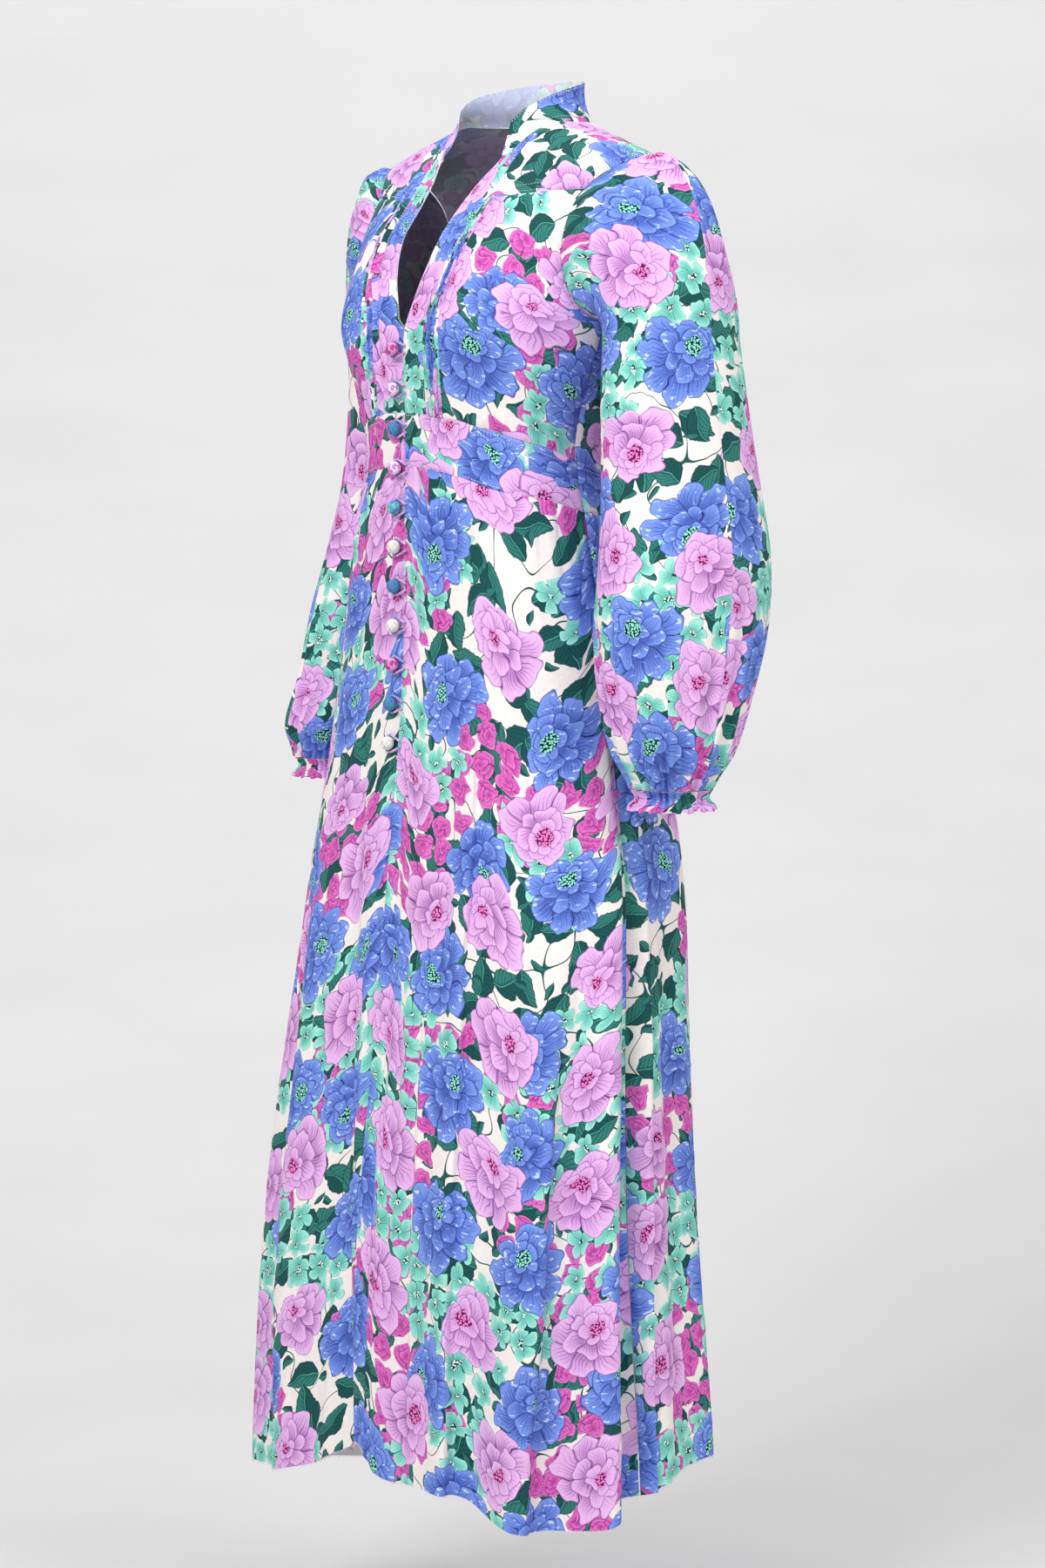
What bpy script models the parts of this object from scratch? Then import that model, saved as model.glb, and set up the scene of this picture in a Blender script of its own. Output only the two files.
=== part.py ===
"""Maxi dress: a worn, hollow button-front dress with a stand collar and bishop sleeves.

Metres, +Z up. The wearer faces -Y and the wearer's left is +X. The origin is the middle of
the shoulder line, where the wearer carries the dress. Every cloth piece is an open surface
given its thickness by Solidify. Angles run round the body from the centre front, in degrees,
positive towards the wearer's left: 90 is the left side seam, 180 the centre back.
"""
import math

import bmesh
import bpy
from mathutils import Vector

# ---------------------------------------------------------------- driving sizes
CLOTH = 0.0015                # wall of every cloth piece
SEAM = 0.00032                # gap left between two pieces at a seam
NECK_RADIUS = 0.071           # neckline, seen from above, about the neck's axis
COLLAR_FRONT = 41.0           # angle at which the collar ends beside the opening
BAND_TOP = 65.0               # angle at which the button band meets the neckline
YOKE_NECK_FRONT = 80.0        # angles on the neckline opposite the ends of the armhole
YOKE_NECK_BACK = 104.0
YOKE_FRONT_HEIGHT = -0.074    # yoke seam where it leaves the button band
YOKE_BACK_HEIGHT = -0.088     # yoke seam at the centre back
ARMHOLE_CENTRE = -0.115
ARMHOLE_HALF_HEIGHT = 0.075
ARMHOLE_HALF_DEPTH = 0.055
ARMHOLE_YOKE_FRONT = 50.0     # place on the armhole where the front yoke seam ends
ARMHOLE_YOKE_BACK = 320.0     # the same at the back
LEFT_EDGE = 0.003             # the left front laps over the centre front by this much
RIGHT_EDGE = 0.013            # the right front runs on below it to here
EDGE_SWING = 0.012            # sideways swing of the open front edges at the hem
SIDE_SEAM_TURN = 0.13         # degrees from the side seam to each piece's edge
SKIRT_ROW_POWER = 1.25        # rows of the skirt lie closer below the waistband
LAP_DROP = 0.0026             # how far the right front sinks below the left one
LAP_REACH = 0.012             # the lap sinks from here beside the centre front
LAP_SOFTNESS = 0.010          # and over this distance
LAP_TOP = -0.185              # height at which the neck opening turns into the lap
LAP_TOP_RUN = 0.020           # height over which the lap sinks
LAP_EDGE_RUN = 0.025          # height over which the right edge runs on below the left one
SWING_RUN = 0.60              # height over which the open front edges swing
WAIST_FRONT_HEIGHT = -0.276   # waist seam at the centre front
BAND_MIDDLE = -0.30           # heights at which the seams' angles are worked out
SKIRT_TOP = -0.35
HEM_FRONT = -1.26
BAND_WAIST_ANGLE = 14.0       # angle at which the button band's outer edge meets the waist
BAND_OUTER_BEND = 40          # how sharply the band's edges turn to their top corners
BAND_INNER_BEND = 24
SEAM_END_BEND = 8             # how sharply a seam opens or turns at its end
SEAM_ANGLE = 20.0             # angle at which a seam's turn is worked out
SLEEVE_INSET = 0.0013         # the sleeve starts this far inside the armhole
SLEEVE_LIFT = 0.0010          # and this far out from the body
SLEEVE_TURN_HEIGHT = -0.205   # where the sleeve hangs free of the armhole
SLEEVE_END = -0.622
CAP_SHARE = 0.36              # share of the sleeve's rows that form its cap
CAP_REACH = 0.37              # how far the cap runs straight before it turns
CAP_LIFT = 0.46               # how steeply the top of the cap leaves the armhole
CAP_MIDDLE = (0.17, 0.0, -0.15)
CAP_GATHER = 0.0022           # height of the gathers on the cap
SLEEVE_GATHER = 0.0030        # and above the cuff
SLEEVE_GATHER_START = -0.46
SLEEVE_GATHER_RUN = 0.12
CUFF_TOP_GAP = 0.0010
CUFF_DEPTH = 0.019
CUFF_GATHER = 0.0030
CUFF_PINCH = 0.10             # share by which the elastic draws the cuff in
CUFF_PINCH_RUN = 1.3          # the pinch ends above the cuff's edge
CUFF_FLARE = 0.10             # share by which the cuff's edge stands out again
CUFF_FLARE_START = 0.45
COLLAR_GAP = 0.0012           # from the neckline up to the collar
COLLAR_HOLLOW = 0.0035        # the collar curves in by this much
COLLAR_LEAN = 4.0             # degrees by which the collar's front ends slant
COLLAR_LEAN_END = 60.0        # angle at which the slant has died away
COLLAR_LEAN_RUN = 20.0
FOLD_FOOT = -1.30             # height at which the skirt's folds are full
FOLD_GROWTH = 1.15            # how early they are full
TUCK_ONSET = 5.0              # how soon a short tuck stands up from its seam
GATHERS = 18                  # gathers round each sleeve end
SLEEVE_COLUMNS = 2 * GATHERS
ARMHOLE_STEP = 360.0 / SLEEVE_COLUMNS
YOKE_SEAM = 0.0006            # the yoke's seams cross steep cloth and open a little more
PLAIN_COLUMNS = 7             # columns of a bodice front beside its pintucks
YOKE_FRONT_COLUMNS = PLAIN_COLUMNS + 1
YOKE_ARM_COLUMNS = 9          # one for each sleeve point between the two yoke seams
YOKE_BACK_COLUMNS = 14
YOKE_ROWS = 4
PLACKET_LOW_ROWS = 10         # rows of a button band below the yoke seam
PLACKET_ROWS = PLACKET_LOW_ROWS + YOKE_ROWS
YOKE_COLUMNS = 2 * (YOKE_FRONT_COLUMNS + YOKE_ARM_COLUMNS) + YOKE_BACK_COLUMNS
SIDE_SEAM_ROWS = 5            # rows of the bodice below the underarm

BUTTON_RADIUS = 0.0066
BUTTON_COUNT = 11
BUTTON_SIDE = -0.0062         # centre of every button beside the centre front
BUTTON_SINK = 0.0002          # the sunken lap lets the buttons sit this far in
FIRST_BUTTON = -0.216
LAST_BUTTON = -0.590
LOOP_CORD_RADIUS = 0.0011
LOOP_RADIUS = 0.0081
LOOP_LIFT = 0.0016
LOOP_ARC_POINTS = 6
LOOP_ARC_START = 70.0         # degrees from the front edge at which the loop's arc starts
LOOP_ARC_END = 290.0
LOOP_HALF_GAPE = 0.0030       # half the distance between a loop's two ends
LOOP_HOLD = 0.004             # how far its ends reach over the front edge

PINTUCK_COUNT = 5
PINTUCK_PITCH = 0.0042
PINTUCK_RISE = 0.0016
PINTUCK_CREST = 0.72           # place of the crest across a tuck
FRONT_PANEL_WIDTH = 0.150
PINTUCK_START = 0.002         # from the seam of the button band to the first tuck

# body sections: height, half width, centre, front, back, roundness of front and of back
BODY = (
    (-1.420, 0.254, -0.036, -0.185, 0.134, 2.9, 2.3),
    (-1.260, 0.249, -0.036, -0.183, 0.129, 2.9, 2.3),
    (-1.060, 0.235, -0.034, -0.176, 0.118, 2.9, 2.3),
    (-0.890, 0.223, -0.028, -0.161, 0.119, 2.8, 2.3),
    (-0.720, 0.208, -0.018, -0.146, 0.126, 2.7, 2.3),
    (-0.600, 0.187, -0.018, -0.134, 0.122, 2.6, 2.3),
    (-0.500, 0.174, -0.019, -0.127, 0.115, 2.4, 2.3),
    (-0.380, 0.150, -0.021, -0.125, 0.096, 2.3, 2.2),
    (-0.340, 0.139, -0.022, -0.124, 0.087, 2.2, 2.2),
    (-0.310, 0.134, -0.022, -0.124, 0.083, 2.2, 2.2),
    (-0.270, 0.139, -0.020, -0.125, 0.087, 2.2, 2.2),
    (-0.235, 0.148, -0.017, -0.126, 0.095, 2.2, 2.2),
    (-0.200, 0.156, -0.012, -0.125, 0.104, 2.2, 2.2),
    (-0.175, 0.160, -0.008, -0.121, 0.110, 2.2, 2.2),
    (-0.145, 0.166, -0.004, -0.115, 0.114, 2.2, 2.2),
    (-0.110, 0.176, 0.000, -0.102, 0.115, 2.2, 2.2),
    (-0.080, 0.184, 0.006, -0.080, 0.112, 2.1, 2.2),
    (-0.055, 0.190, 0.010, -0.060, 0.107, 2.0, 2.1),
    (-0.040, 0.188, 0.011, -0.048, 0.101, 2.0, 2.0),
    (-0.030, 0.168, 0.012, -0.041, 0.097, 2.0, 2.0),
    (-0.020, 0.138, 0.012, -0.034, 0.092, 2.0, 2.0),
    (-0.010, 0.102, 0.013, -0.028, 0.088, 2.0, 2.0),
    (0.000, 0.073, 0.014, -0.022, 0.084, 2.0, 2.0),
    (0.012, 0.056, 0.015, -0.016, 0.078, 2.0, 2.0),
)
HALF_WIDTH, CENTRE, FRONT, BACK, FRONT_POWER, BACK_POWER = range(1, 7)

# button band beside the neck opening: height, distances of its inner and outer edge from
# the centre front
BAND_EDGES = (
    (-0.235, 0.0030, 0.0325),
    (-0.215, 0.0031, 0.0325),
    (-0.200, 0.0040, 0.0335),
    (-0.185, 0.0070, 0.0360),
    (-0.170, 0.0120, 0.0405),
    (-0.145, 0.0205, 0.0485),
    (-0.110, 0.0285, 0.0565),
    (-0.080, 0.0315, 0.0600),
    (-0.050, 0.0380, 0.0625),
    (-0.026, 0.0460, 0.0640),
    (0.010, 0.0480, 0.0645),
)
INNER_EDGE, OUTER_EDGE = 1, 2
# waistband seams: angle from the centre front, upper seam, lower seam
WAISTBAND = (
    (-20.0, -0.278, -0.327),
    (0.0, -0.276, -0.325),
    (33.0, -0.281, -0.333),
    (55.0, -0.294, -0.347),
    (75.0, -0.307, -0.357),
    (90.0, -0.320, -0.368),
    (110.0, -0.332, -0.376),
    (180.0, -0.338, -0.382),
    (200.0, -0.337, -0.381),
)
UPPER_SEAM, LOWER_SEAM = 1, 2
# hem: signed angle, height
HEM = (
    (-180.0, -1.320),
    (-105.0, -1.345),
    (-60.0, -1.318),
    (-40.0, -1.306),
    (-20.0, -1.282),
    (0.0, -1.258),
    (16.0, -1.284),
    (35.0, -1.284),
    (48.0, -1.286),
    (60.0, -1.309),
    (76.0, -1.307),
    (90.0, -1.285),
    (107.0, -1.264),
    (135.0, -1.268),
    (180.0, -1.320),
)
# collar: angle from the front, height of the top edge, radius of the top edge
COLLAR = (
    (41.0, 0.000, 0.0580),
    (60.0, 0.013, 0.0600),
    (90.0, 0.028, 0.0630),
    (135.0, 0.039, 0.0640),
    (180.0, 0.043, 0.0640),
)
# skirt folds: angle high up, angle at the hem, height at which it begins, half width in
# degrees, depth at the hem (a trough is negative)
SKIRT_FOLDS = (
    (22.0, 15.0, -0.42, 8.0, 0.008),
    (45.0, 42.0, -0.36, 6.0, 0.013),
    (54.0, 51.0, -0.60, 5.0, -0.012),
    (70.0, 60.0, -0.60, 5.5, 0.014),
    (77.0, 69.0, -0.70, 4.5, -0.010),
    (86.0, 79.0, -0.40, 5.0, 0.016),
    (92.0, 86.0, -0.45, 4.0, -0.018),
    (98.0, 94.0, -0.50, 5.0, 0.010),
    (116.0, 114.0, -0.42, 8.0, 0.017),
    (129.0, 128.0, -0.60, 6.0, -0.012),
    (142.0, 143.0, -0.45, 7.0, 0.010),
    (157.0, 158.0, -0.60, 6.0, -0.012),
    (172.0, 171.0, -0.42, 8.0, 0.016),
    (187.0, 189.0, -0.60, 6.0, -0.011),
    (202.0, 203.0, -0.50, 7.0, 0.015),
    (217.0, 218.0, -0.60, 6.0, -0.013),
    (232.0, 233.0, -0.42, 8.0, 0.016),
    (248.0, 250.0, -0.60, 6.0, -0.012),
    (262.0, 265.0, -0.45, 6.0, 0.015),
    (276.0, 279.0, -0.60, 5.0, -0.010),
    (290.0, 293.0, -0.50, 6.5, 0.014),
    (303.0, 307.0, -0.60, 5.0, -0.010),
    (318.0, 321.0, -0.42, 7.0, 0.013),
    (334.0, 351.0, -0.50, 6.0, -0.014),
)
# short unpressed tucks beside the waistband: angle, height at the seam, height at which it
# has died away, half width in degrees, depth
SHORT_TUCKS = (
    (33.0, -0.335, -0.430, 2.2, 0.0035),
    (40.0, -0.340, -0.480, 2.2, 0.0040),
    (47.0, -0.344, -0.520, 2.4, 0.0045),
    (135.0, -0.380, -0.500, 2.6, 0.0040),
    (147.0, -0.381, -0.520, 2.6, 0.0045),
    (213.0, -0.381, -0.520, 2.6, 0.0045),
    (225.0, -0.380, -0.500, 2.6, 0.0040),
    (313.0, -0.344, -0.520, 2.4, 0.0045),
    (320.0, -0.340, -0.480, 2.2, 0.0040),
    (327.0, -0.335, -0.430, 2.2, 0.0035),
    (50.0, -0.292, -0.225, 2.6, 0.0035),
    (57.0, -0.296, -0.230, 2.6, 0.0040),
    (303.0, -0.296, -0.230, 2.6, 0.0040),
    (310.0, -0.292, -0.225, 2.6, 0.0035),
)
# sleeve sections: height, centre x, centre y, half width, half depth
LEFT_SLEEVE = (
    (-0.660, 0.2520, -0.0080, 0.0330, 0.0330),
    (-0.622, 0.2520, -0.0020, 0.0350, 0.0365),
    (-0.589, 0.2510, 0.0010, 0.0520, 0.0560),
    (-0.540, 0.2490, 0.0050, 0.0630, 0.0720),
    (-0.475, 0.2460, 0.0140, 0.0680, 0.0860),
    (-0.409, 0.2420, 0.0215, 0.0680, 0.0860),
    (-0.344, 0.2350, 0.0225, 0.0640, 0.0800),
    (-0.254, 0.2260, 0.0205, 0.0605, 0.0720),
    (-0.205, 0.2210, 0.0210, 0.0580, 0.0670),
    (-0.163, 0.2160, 0.0230, 0.0570, 0.0660),
)
RIGHT_SLEEVE = (
    (-0.660, 0.2520, -0.0310, 0.0330, 0.0330),
    (-0.622, 0.2520, -0.0240, 0.0350, 0.0365),
    (-0.589, 0.2500, -0.0110, 0.0520, 0.0590),
    (-0.540, 0.2450, 0.0160, 0.0620, 0.0740),
    (-0.475, 0.2380, 0.0340, 0.0670, 0.0820),
    (-0.409, 0.2320, 0.0470, 0.0660, 0.0780),
    (-0.344, 0.2240, 0.0530, 0.0630, 0.0720),
    (-0.254, 0.2170, 0.0490, 0.0590, 0.0650),
    (-0.205, 0.2150, 0.0420, 0.0570, 0.0630),
    (-0.163, 0.2110, 0.0370, 0.0560, 0.0620),
)
CENTRE_X, CENTRE_Y, HALF_X, HALF_Y = range(1, 5)

# bust: distance of its fullest point from the centre front, height, spreads, fullness
BUST_SIDE = 0.092
BUST_HEIGHT = -0.188
BUST_SPREAD_SIDE = 0.050
BUST_SPREAD_HEIGHT = 0.055
BUST_FULLNESS = 0.017

# base colour of each piece, and which finish it has
GROUND = (0.90, 0.84, 0.82)
PRINT_LILAC = (0.72, 0.45, 0.72)
PRINT_BLUE = (0.18, 0.26, 0.62)
PRINT_AQUA = (0.28, 0.66, 0.56)
PRINT_PINK = (0.60, 0.12, 0.42)
CLOTH_ROUGHNESS = 0.85
BUTTON_COLOURS = (PRINT_PINK, PRINT_LILAC, PRINT_BLUE, PRINT_LILAC, PRINT_AQUA, GROUND,
                  PRINT_BLUE, GROUND, PRINT_PINK, PRINT_BLUE, GROUND)


# ---------------------------------------------------------------- tables and curves
def table_value(rows, key, column):
    """One column of a table at a key, on a smooth curve through the rows."""
    last = len(rows) - 1
    key = min(max(key, rows[0][0]), rows[last][0])
    index = 0
    while index < last - 1 and rows[index + 1][0] <= key:
        index += 1

    def slope(row):
        low = max(row - 1, 0)
        high = min(row + 1, last)
        return (rows[high][column] - rows[low][column]) / (rows[high][0] - rows[low][0])

    start = rows[index]
    end = rows[index + 1]
    span = end[0] - start[0]
    t = (key - start[0]) / span
    return ((2 * t ** 3 - 3 * t ** 2 + 1) * start[column]
            + (t ** 3 - 2 * t ** 2 + t) * span * slope(index)
            + (3 * t ** 2 - 2 * t ** 3) * end[column]
            + (t ** 3 - t ** 2) * span * slope(index + 1))


def ease(value):
    """0 below 0, 1 above 1 and a soft step between."""
    value = min(max(value, 0.0), 1.0)
    return value * value * (3.0 - 2.0 * value)


def mix(start, end, share):
    return start + (end - start) * share


def mix_pair(start, end, share):
    return (mix(start[0], end[0], share), mix(start[1], end[1], share))


def fold_angle(angle):
    """The same direction as a signed angle from -180 to 180."""
    return (angle + 180.0) % 360.0 - 180.0


def armhole_rows(end):
    """Rows of a bodice piece beside the armhole, which share the sleeve's points."""
    return round(abs(end - 180.0) / ARMHOLE_STEP)


def angle_between(angle, other):
    return abs(fold_angle(angle - other))


# ---------------------------------------------------------------- the body surface
def section_radius(angle, height):
    """Distance of the cloth from the section's centre, before folds."""
    radians = math.radians(angle)
    centre = table_value(BODY, height, CENTRE)
    half_width = table_value(BODY, height, HALF_WIDTH)
    if math.cos(radians) > 0.0:
        half_depth = centre - table_value(BODY, height, FRONT)
        power = table_value(BODY, height, FRONT_POWER)
    else:
        half_depth = table_value(BODY, height, BACK) - centre
        power = table_value(BODY, height, BACK_POWER)
    sideways = abs(math.sin(radians)) / half_width
    forward = abs(math.cos(radians)) / half_depth
    return (sideways ** power + forward ** power) ** (-1.0 / power)


def bust_rise(angle, height):
    if angle_between(angle, 0.0) > 90.0:
        return 0.0
    side = section_radius(angle, height) * abs(math.sin(math.radians(angle)))
    return (BUST_FULLNESS
            * math.exp(-((side - BUST_SIDE) / BUST_SPREAD_SIDE) ** 2)
            * math.exp(-((height - BUST_HEIGHT) / BUST_SPREAD_HEIGHT) ** 2))


def fold_rise(angle, height):
    """Skirt folds and the short tucks on both sides of the waistband."""
    rise = 0.0
    for high_angle, hem_angle, begin, half_width, depth in SKIRT_FOLDS:
        if height < begin:
            share = (begin - height) / (begin - FOLD_FOOT)
            line = mix(high_angle, hem_angle, share)
            away = angle_between(angle, line) / half_width
            rise += depth * ease(share * FOLD_GROWTH) * math.exp(-away * away)
    for line, seam, end, half_width, depth in SHORT_TUCKS:
        share = (height - seam) / (end - seam)
        if 0.0 < share < 1.0:
            away = angle_between(angle, line) / half_width
            rise += depth * ease(share * TUCK_ONSET) * (1.0 - ease(share)) * math.exp(-away * away)
    return rise


def body_point(angle, height, lift=0.0):
    """A point on the dress from its angle and height, moved out by lift."""
    radians = math.radians(angle)
    radius = section_radius(angle, height) + bust_rise(angle, height)
    radius += fold_rise(angle, height) + lift
    return Vector((radius * math.sin(radians),
                   table_value(BODY, height, CENTRE) - radius * math.cos(radians),
                   height))


def angle_at_side(side, height):
    """The angle of the front point that lies this far to the side of the centre front."""
    low = -89.0
    high = 89.0
    for _ in range(40):
        middle = (low + high) / 2.0
        if section_radius(middle, height) * math.sin(math.radians(middle)) < side:
            low = middle
        else:
            high = middle
    return (low + high) / 2.0


def neckline_height(angle):
    """Height at which the neckline crosses this angle, on the body surface."""
    low = -0.060
    high = 0.008
    for _ in range(40):
        middle = (low + high) / 2.0
        if section_radius(angle, middle) > NECK_RADIUS:
            low = middle
        else:
            high = middle
    return (low + high) / 2.0


def armhole_pair(place, inset=0.0):
    """Angle and height of a place on the left armhole: 0 top, 90 front, 180 underarm."""
    radians = math.radians(place)
    height = ARMHOLE_CENTRE + (ARMHOLE_HALF_HEIGHT - inset) * math.cos(radians)
    forward = (ARMHOLE_HALF_DEPTH - inset) * math.sin(radians)
    half_width = table_value(BODY, height, HALF_WIDTH)
    centre = table_value(BODY, height, CENTRE)
    if forward > 0.0:
        half_depth = centre - table_value(BODY, height, FRONT)
        power = table_value(BODY, height, FRONT_POWER)
    else:
        half_depth = table_value(BODY, height, BACK) - centre
        power = table_value(BODY, height, BACK_POWER)
    share = min(abs(forward) / half_depth, 1.0)
    side = half_width * (1.0 - share ** power) ** (1.0 / power)
    return (90.0 - math.degrees(math.atan2(forward, side)), height)


def bodice_armhole_pair(end, share):
    """The armhole from the underarm to a yoke seam, which stays open by its gap."""
    angle, height = armhole_pair(mix(180.0, end, share))
    return (angle, height - YOKE_SEAM * share ** SEAM_END_BEND)


def waist_seam(angle, column):
    return table_value(WAISTBAND, abs(fold_angle(angle)), column)


# ---------------------------------------------------------------- building helpers
def start_scene():
    for item in list(bpy.data.objects):
        bpy.data.objects.remove(item, do_unlink=True)
    collection = bpy.data.collections.new("Maxi dress")
    bpy.context.scene.collection.children.link(collection)
    return collection


def plain_material(name, colour, roughness=CLOTH_ROUGHNESS):
    material = bpy.data.materials.new(name)
    material.use_nodes = True
    shader = material.node_tree.nodes["Principled BSDF"]
    shader.inputs["Base Color"].default_value = (*colour, 1.0)
    shader.inputs["Roughness"].default_value = roughness
    shader.inputs["Metallic"].default_value = 0.0
    return material


def cloth_piece(collection, name, columns, rows, surface, colour, closed=False, raised=None):
    """A grid moved onto surface(across, up), both from 0 to 1, then given its thickness.

    raised(across, up) says how far the outside stands above the plain wall.
    """
    mesh = bmesh.new()
    bmesh.ops.create_grid(mesh, x_segments=columns, y_segments=rows, size=0.5)
    places = [(vertex.co.x + 0.5, vertex.co.y + 0.5) for vertex in mesh.verts]
    for vertex, (across, up) in zip(mesh.verts, places):
        vertex.co = surface(across, up)
    if closed:
        bmesh.ops.remove_doubles(mesh, verts=mesh.verts, dist=0.00001)
    data = bpy.data.meshes.new(name)
    mesh.to_mesh(data)
    mesh.free()
    piece = bpy.data.objects.new(name, data)
    collection.objects.link(piece)
    data.materials.append(plain_material(name + " cloth", colour))
    data.shade_smooth()
    wall = piece.modifiers.new("Wall", "SOLIDIFY")
    wall.thickness = CLOTH
    wall.offset = 0.0
    if raised:
        inside = [vertex.co - vertex.normal * CLOTH / 2.0 for vertex in data.vertices]
        for vertex, place in zip(data.vertices, inside):
            vertex.co = place
        group = piece.vertex_groups.new(name="height")
        wall.thickness = CLOTH + PINTUCK_RISE
        wall.offset = 1.0
        wall.vertex_group = group.name
        for index, (across, up) in enumerate(places):
            group.add([index], (CLOTH + raised(across, up)) / wall.thickness, "REPLACE")
    return piece


def patch(bottom, top, left, right):
    """A map of the unit square onto the region inside four curves of (angle, height)."""
    corners = (bottom(0.0), bottom(1.0), top(0.0), top(1.0))

    def place(across, up):
        result = []
        for part in (0, 1):
            ruled = mix(bottom(across)[part], top(across)[part], up)
            ruled += mix(left(up)[part], right(up)[part], across)
            low = mix(corners[0][part], corners[1][part], across)
            high = mix(corners[2][part], corners[3][part], across)
            result.append(ruled - mix(low, high, up))
        return tuple(result)
    return place


def mirrored(surface):
    """The same piece on the wearer's right, with its outside still outwards."""
    def place(across, up):
        point = surface(1.0 - across, up)
        return Vector((-point.x, point.y, point.z))
    return place


# ---------------------------------------------------------------- edges in angle and height
def band_inner_pair(height, edge):
    """Inner edge of the button band: the neck opening, then the lap at the front."""
    side = max(table_value(BAND_EDGES, height, INNER_EDGE), edge)
    if edge < 0.0:
        under = ease((LAP_TOP - height) / LAP_EDGE_RUN)
        side = mix(table_value(BAND_EDGES, height, INNER_EDGE), edge, under)
    return (angle_at_side(side, height), height)


def band_outer_pair(up):
    """Outer edge of the button band from the waist seam up to the neckline."""
    top_height = neckline_height(BAND_TOP) - SEAM
    waist = waist_seam(BAND_WAIST_ANGLE, UPPER_SEAM) + SEAM
    height = mix(waist, top_height, up)
    angle = angle_at_side(table_value(BAND_EDGES, height, OUTER_EDGE), height)
    return (mix(angle, BAND_TOP, up ** BAND_OUTER_BEND), height)


def band_outer_share(height):
    """Where along band_outer_pair a height lies."""
    low = band_outer_pair(0.0)[1]
    high = band_outer_pair(1.0)[1]
    return (height - low) / (high - low)


def seam_step(height):
    """Degrees of turn that open a seam gap on the front of the body at this height."""
    return math.degrees(SEAM / section_radius(SEAM_ANGLE, height))


# ---------------------------------------------------------------- bodice
def placket_surface(edge, drop):
    """Button band on the wearer's left; drop sinks the lap below the other front."""
    inner_top = (COLLAR_FRONT, neckline_height(COLLAR_FRONT) - SEAM)
    low_share = PLACKET_LOW_ROWS / PLACKET_ROWS
    yoke_share = band_outer_share(YOKE_FRONT_HEIGHT)

    def rise(up):
        """Rows lie closer above the yoke seam, where they meet the yoke's rows."""
        if up < low_share:
            return yoke_share * up / low_share
        return mix(yoke_share, 1.0, (up - low_share) / (1.0 - low_share))

    def bottom(across):
        start = angle_at_side(edge, WAIST_FRONT_HEIGHT)
        angle = mix(start, band_outer_pair(0.0)[0], across)
        return (angle, waist_seam(angle, UPPER_SEAM) + SEAM)

    def top(across):
        angle = mix(COLLAR_FRONT, BAND_TOP, across)
        return (angle, neckline_height(angle) - SEAM)

    def left(up):
        height = mix(bottom(0.0)[1], inner_top[1], rise(up))
        angle, _ = band_inner_pair(height, edge)
        return (mix(angle, COLLAR_FRONT, up ** BAND_INNER_BEND), height)

    def right(up):
        return band_outer_pair(rise(up))

    region = patch(bottom, top, left, right)

    def surface(across, up):
        angle, height = region(across, up)
        point = body_point(angle, height)
        return body_point(angle, height, -drop(point.x, height))
    return surface


def no_drop(_side, _height):
    return 0.0


def right_lap_drop(side, height):
    """The right front sinks smoothly where the left front lies over it."""
    reach = ease((side + LAP_REACH) / LAP_SOFTNESS)
    return LAP_DROP * reach * ease((LAP_TOP - height) / LAP_TOP_RUN)


def front_top_pair(across):
    """Yoke seam on the front, from the button band to the armhole."""
    angle, height = band_outer_pair(band_outer_share(YOKE_FRONT_HEIGHT))
    start = (angle + 2.0 * seam_step(height), height)
    return mix_pair(start, armhole_pair(ARMHOLE_YOKE_FRONT), across)


def bodice_front_surface():
    share_top = band_outer_share(YOKE_FRONT_HEIGHT)
    underarm = armhole_pair(180.0)
    side_low = (90.0, waist_seam(90.0, UPPER_SEAM) + SEAM)
    side_share = SIDE_SEAM_ROWS / (SIDE_SEAM_ROWS + armhole_rows(ARMHOLE_YOKE_FRONT))

    def bottom(across):
        start = band_outer_pair(0.0)[0] + 2.0 * seam_step(WAIST_FRONT_HEIGHT)
        angle = mix(start, side_low[0] - SIDE_SEAM_TURN, across)
        return (angle, waist_seam(angle, UPPER_SEAM) + SEAM)

    def top(across):
        angle, height = front_top_pair(across)
        return (angle, height - YOKE_SEAM)

    def left(up):
        angle, height = band_outer_pair(up * share_top)
        if up == 0.0:
            height = bottom(0.0)[1]
        return (angle + 2.0 * seam_step(height), height - YOKE_SEAM * up)

    def right(up):
        if up < side_share:
            low = (side_low[0] - SIDE_SEAM_TURN, side_low[1])
            return mix_pair(low, (underarm[0] - SIDE_SEAM_TURN, underarm[1]), up / side_share)
        return bodice_armhole_pair(ARMHOLE_YOKE_FRONT, (up - side_share) / (1.0 - side_share))

    region = patch(bottom, top, left, right)

    def surface(across, up):
        return body_point(*region(across, up))
    return surface


def pintuck_columns():
    """Shares across the front where the grid's columns lie: close in the tucks."""
    width = FRONT_PANEL_WIDTH
    stops = [0.0, PINTUCK_START / width]
    for tuck in range(PINTUCK_COUNT):
        start = PINTUCK_START + tuck * PINTUCK_PITCH
        stops.append((start + PINTUCK_CREST * PINTUCK_PITCH) / width)
        stops.append((start + PINTUCK_PITCH) / width)
    last = stops[-1]
    stops.extend(mix(last, 1.0, (step + 1) / PLAIN_COLUMNS) for step in range(PLAIN_COLUMNS))
    return stops


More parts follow.
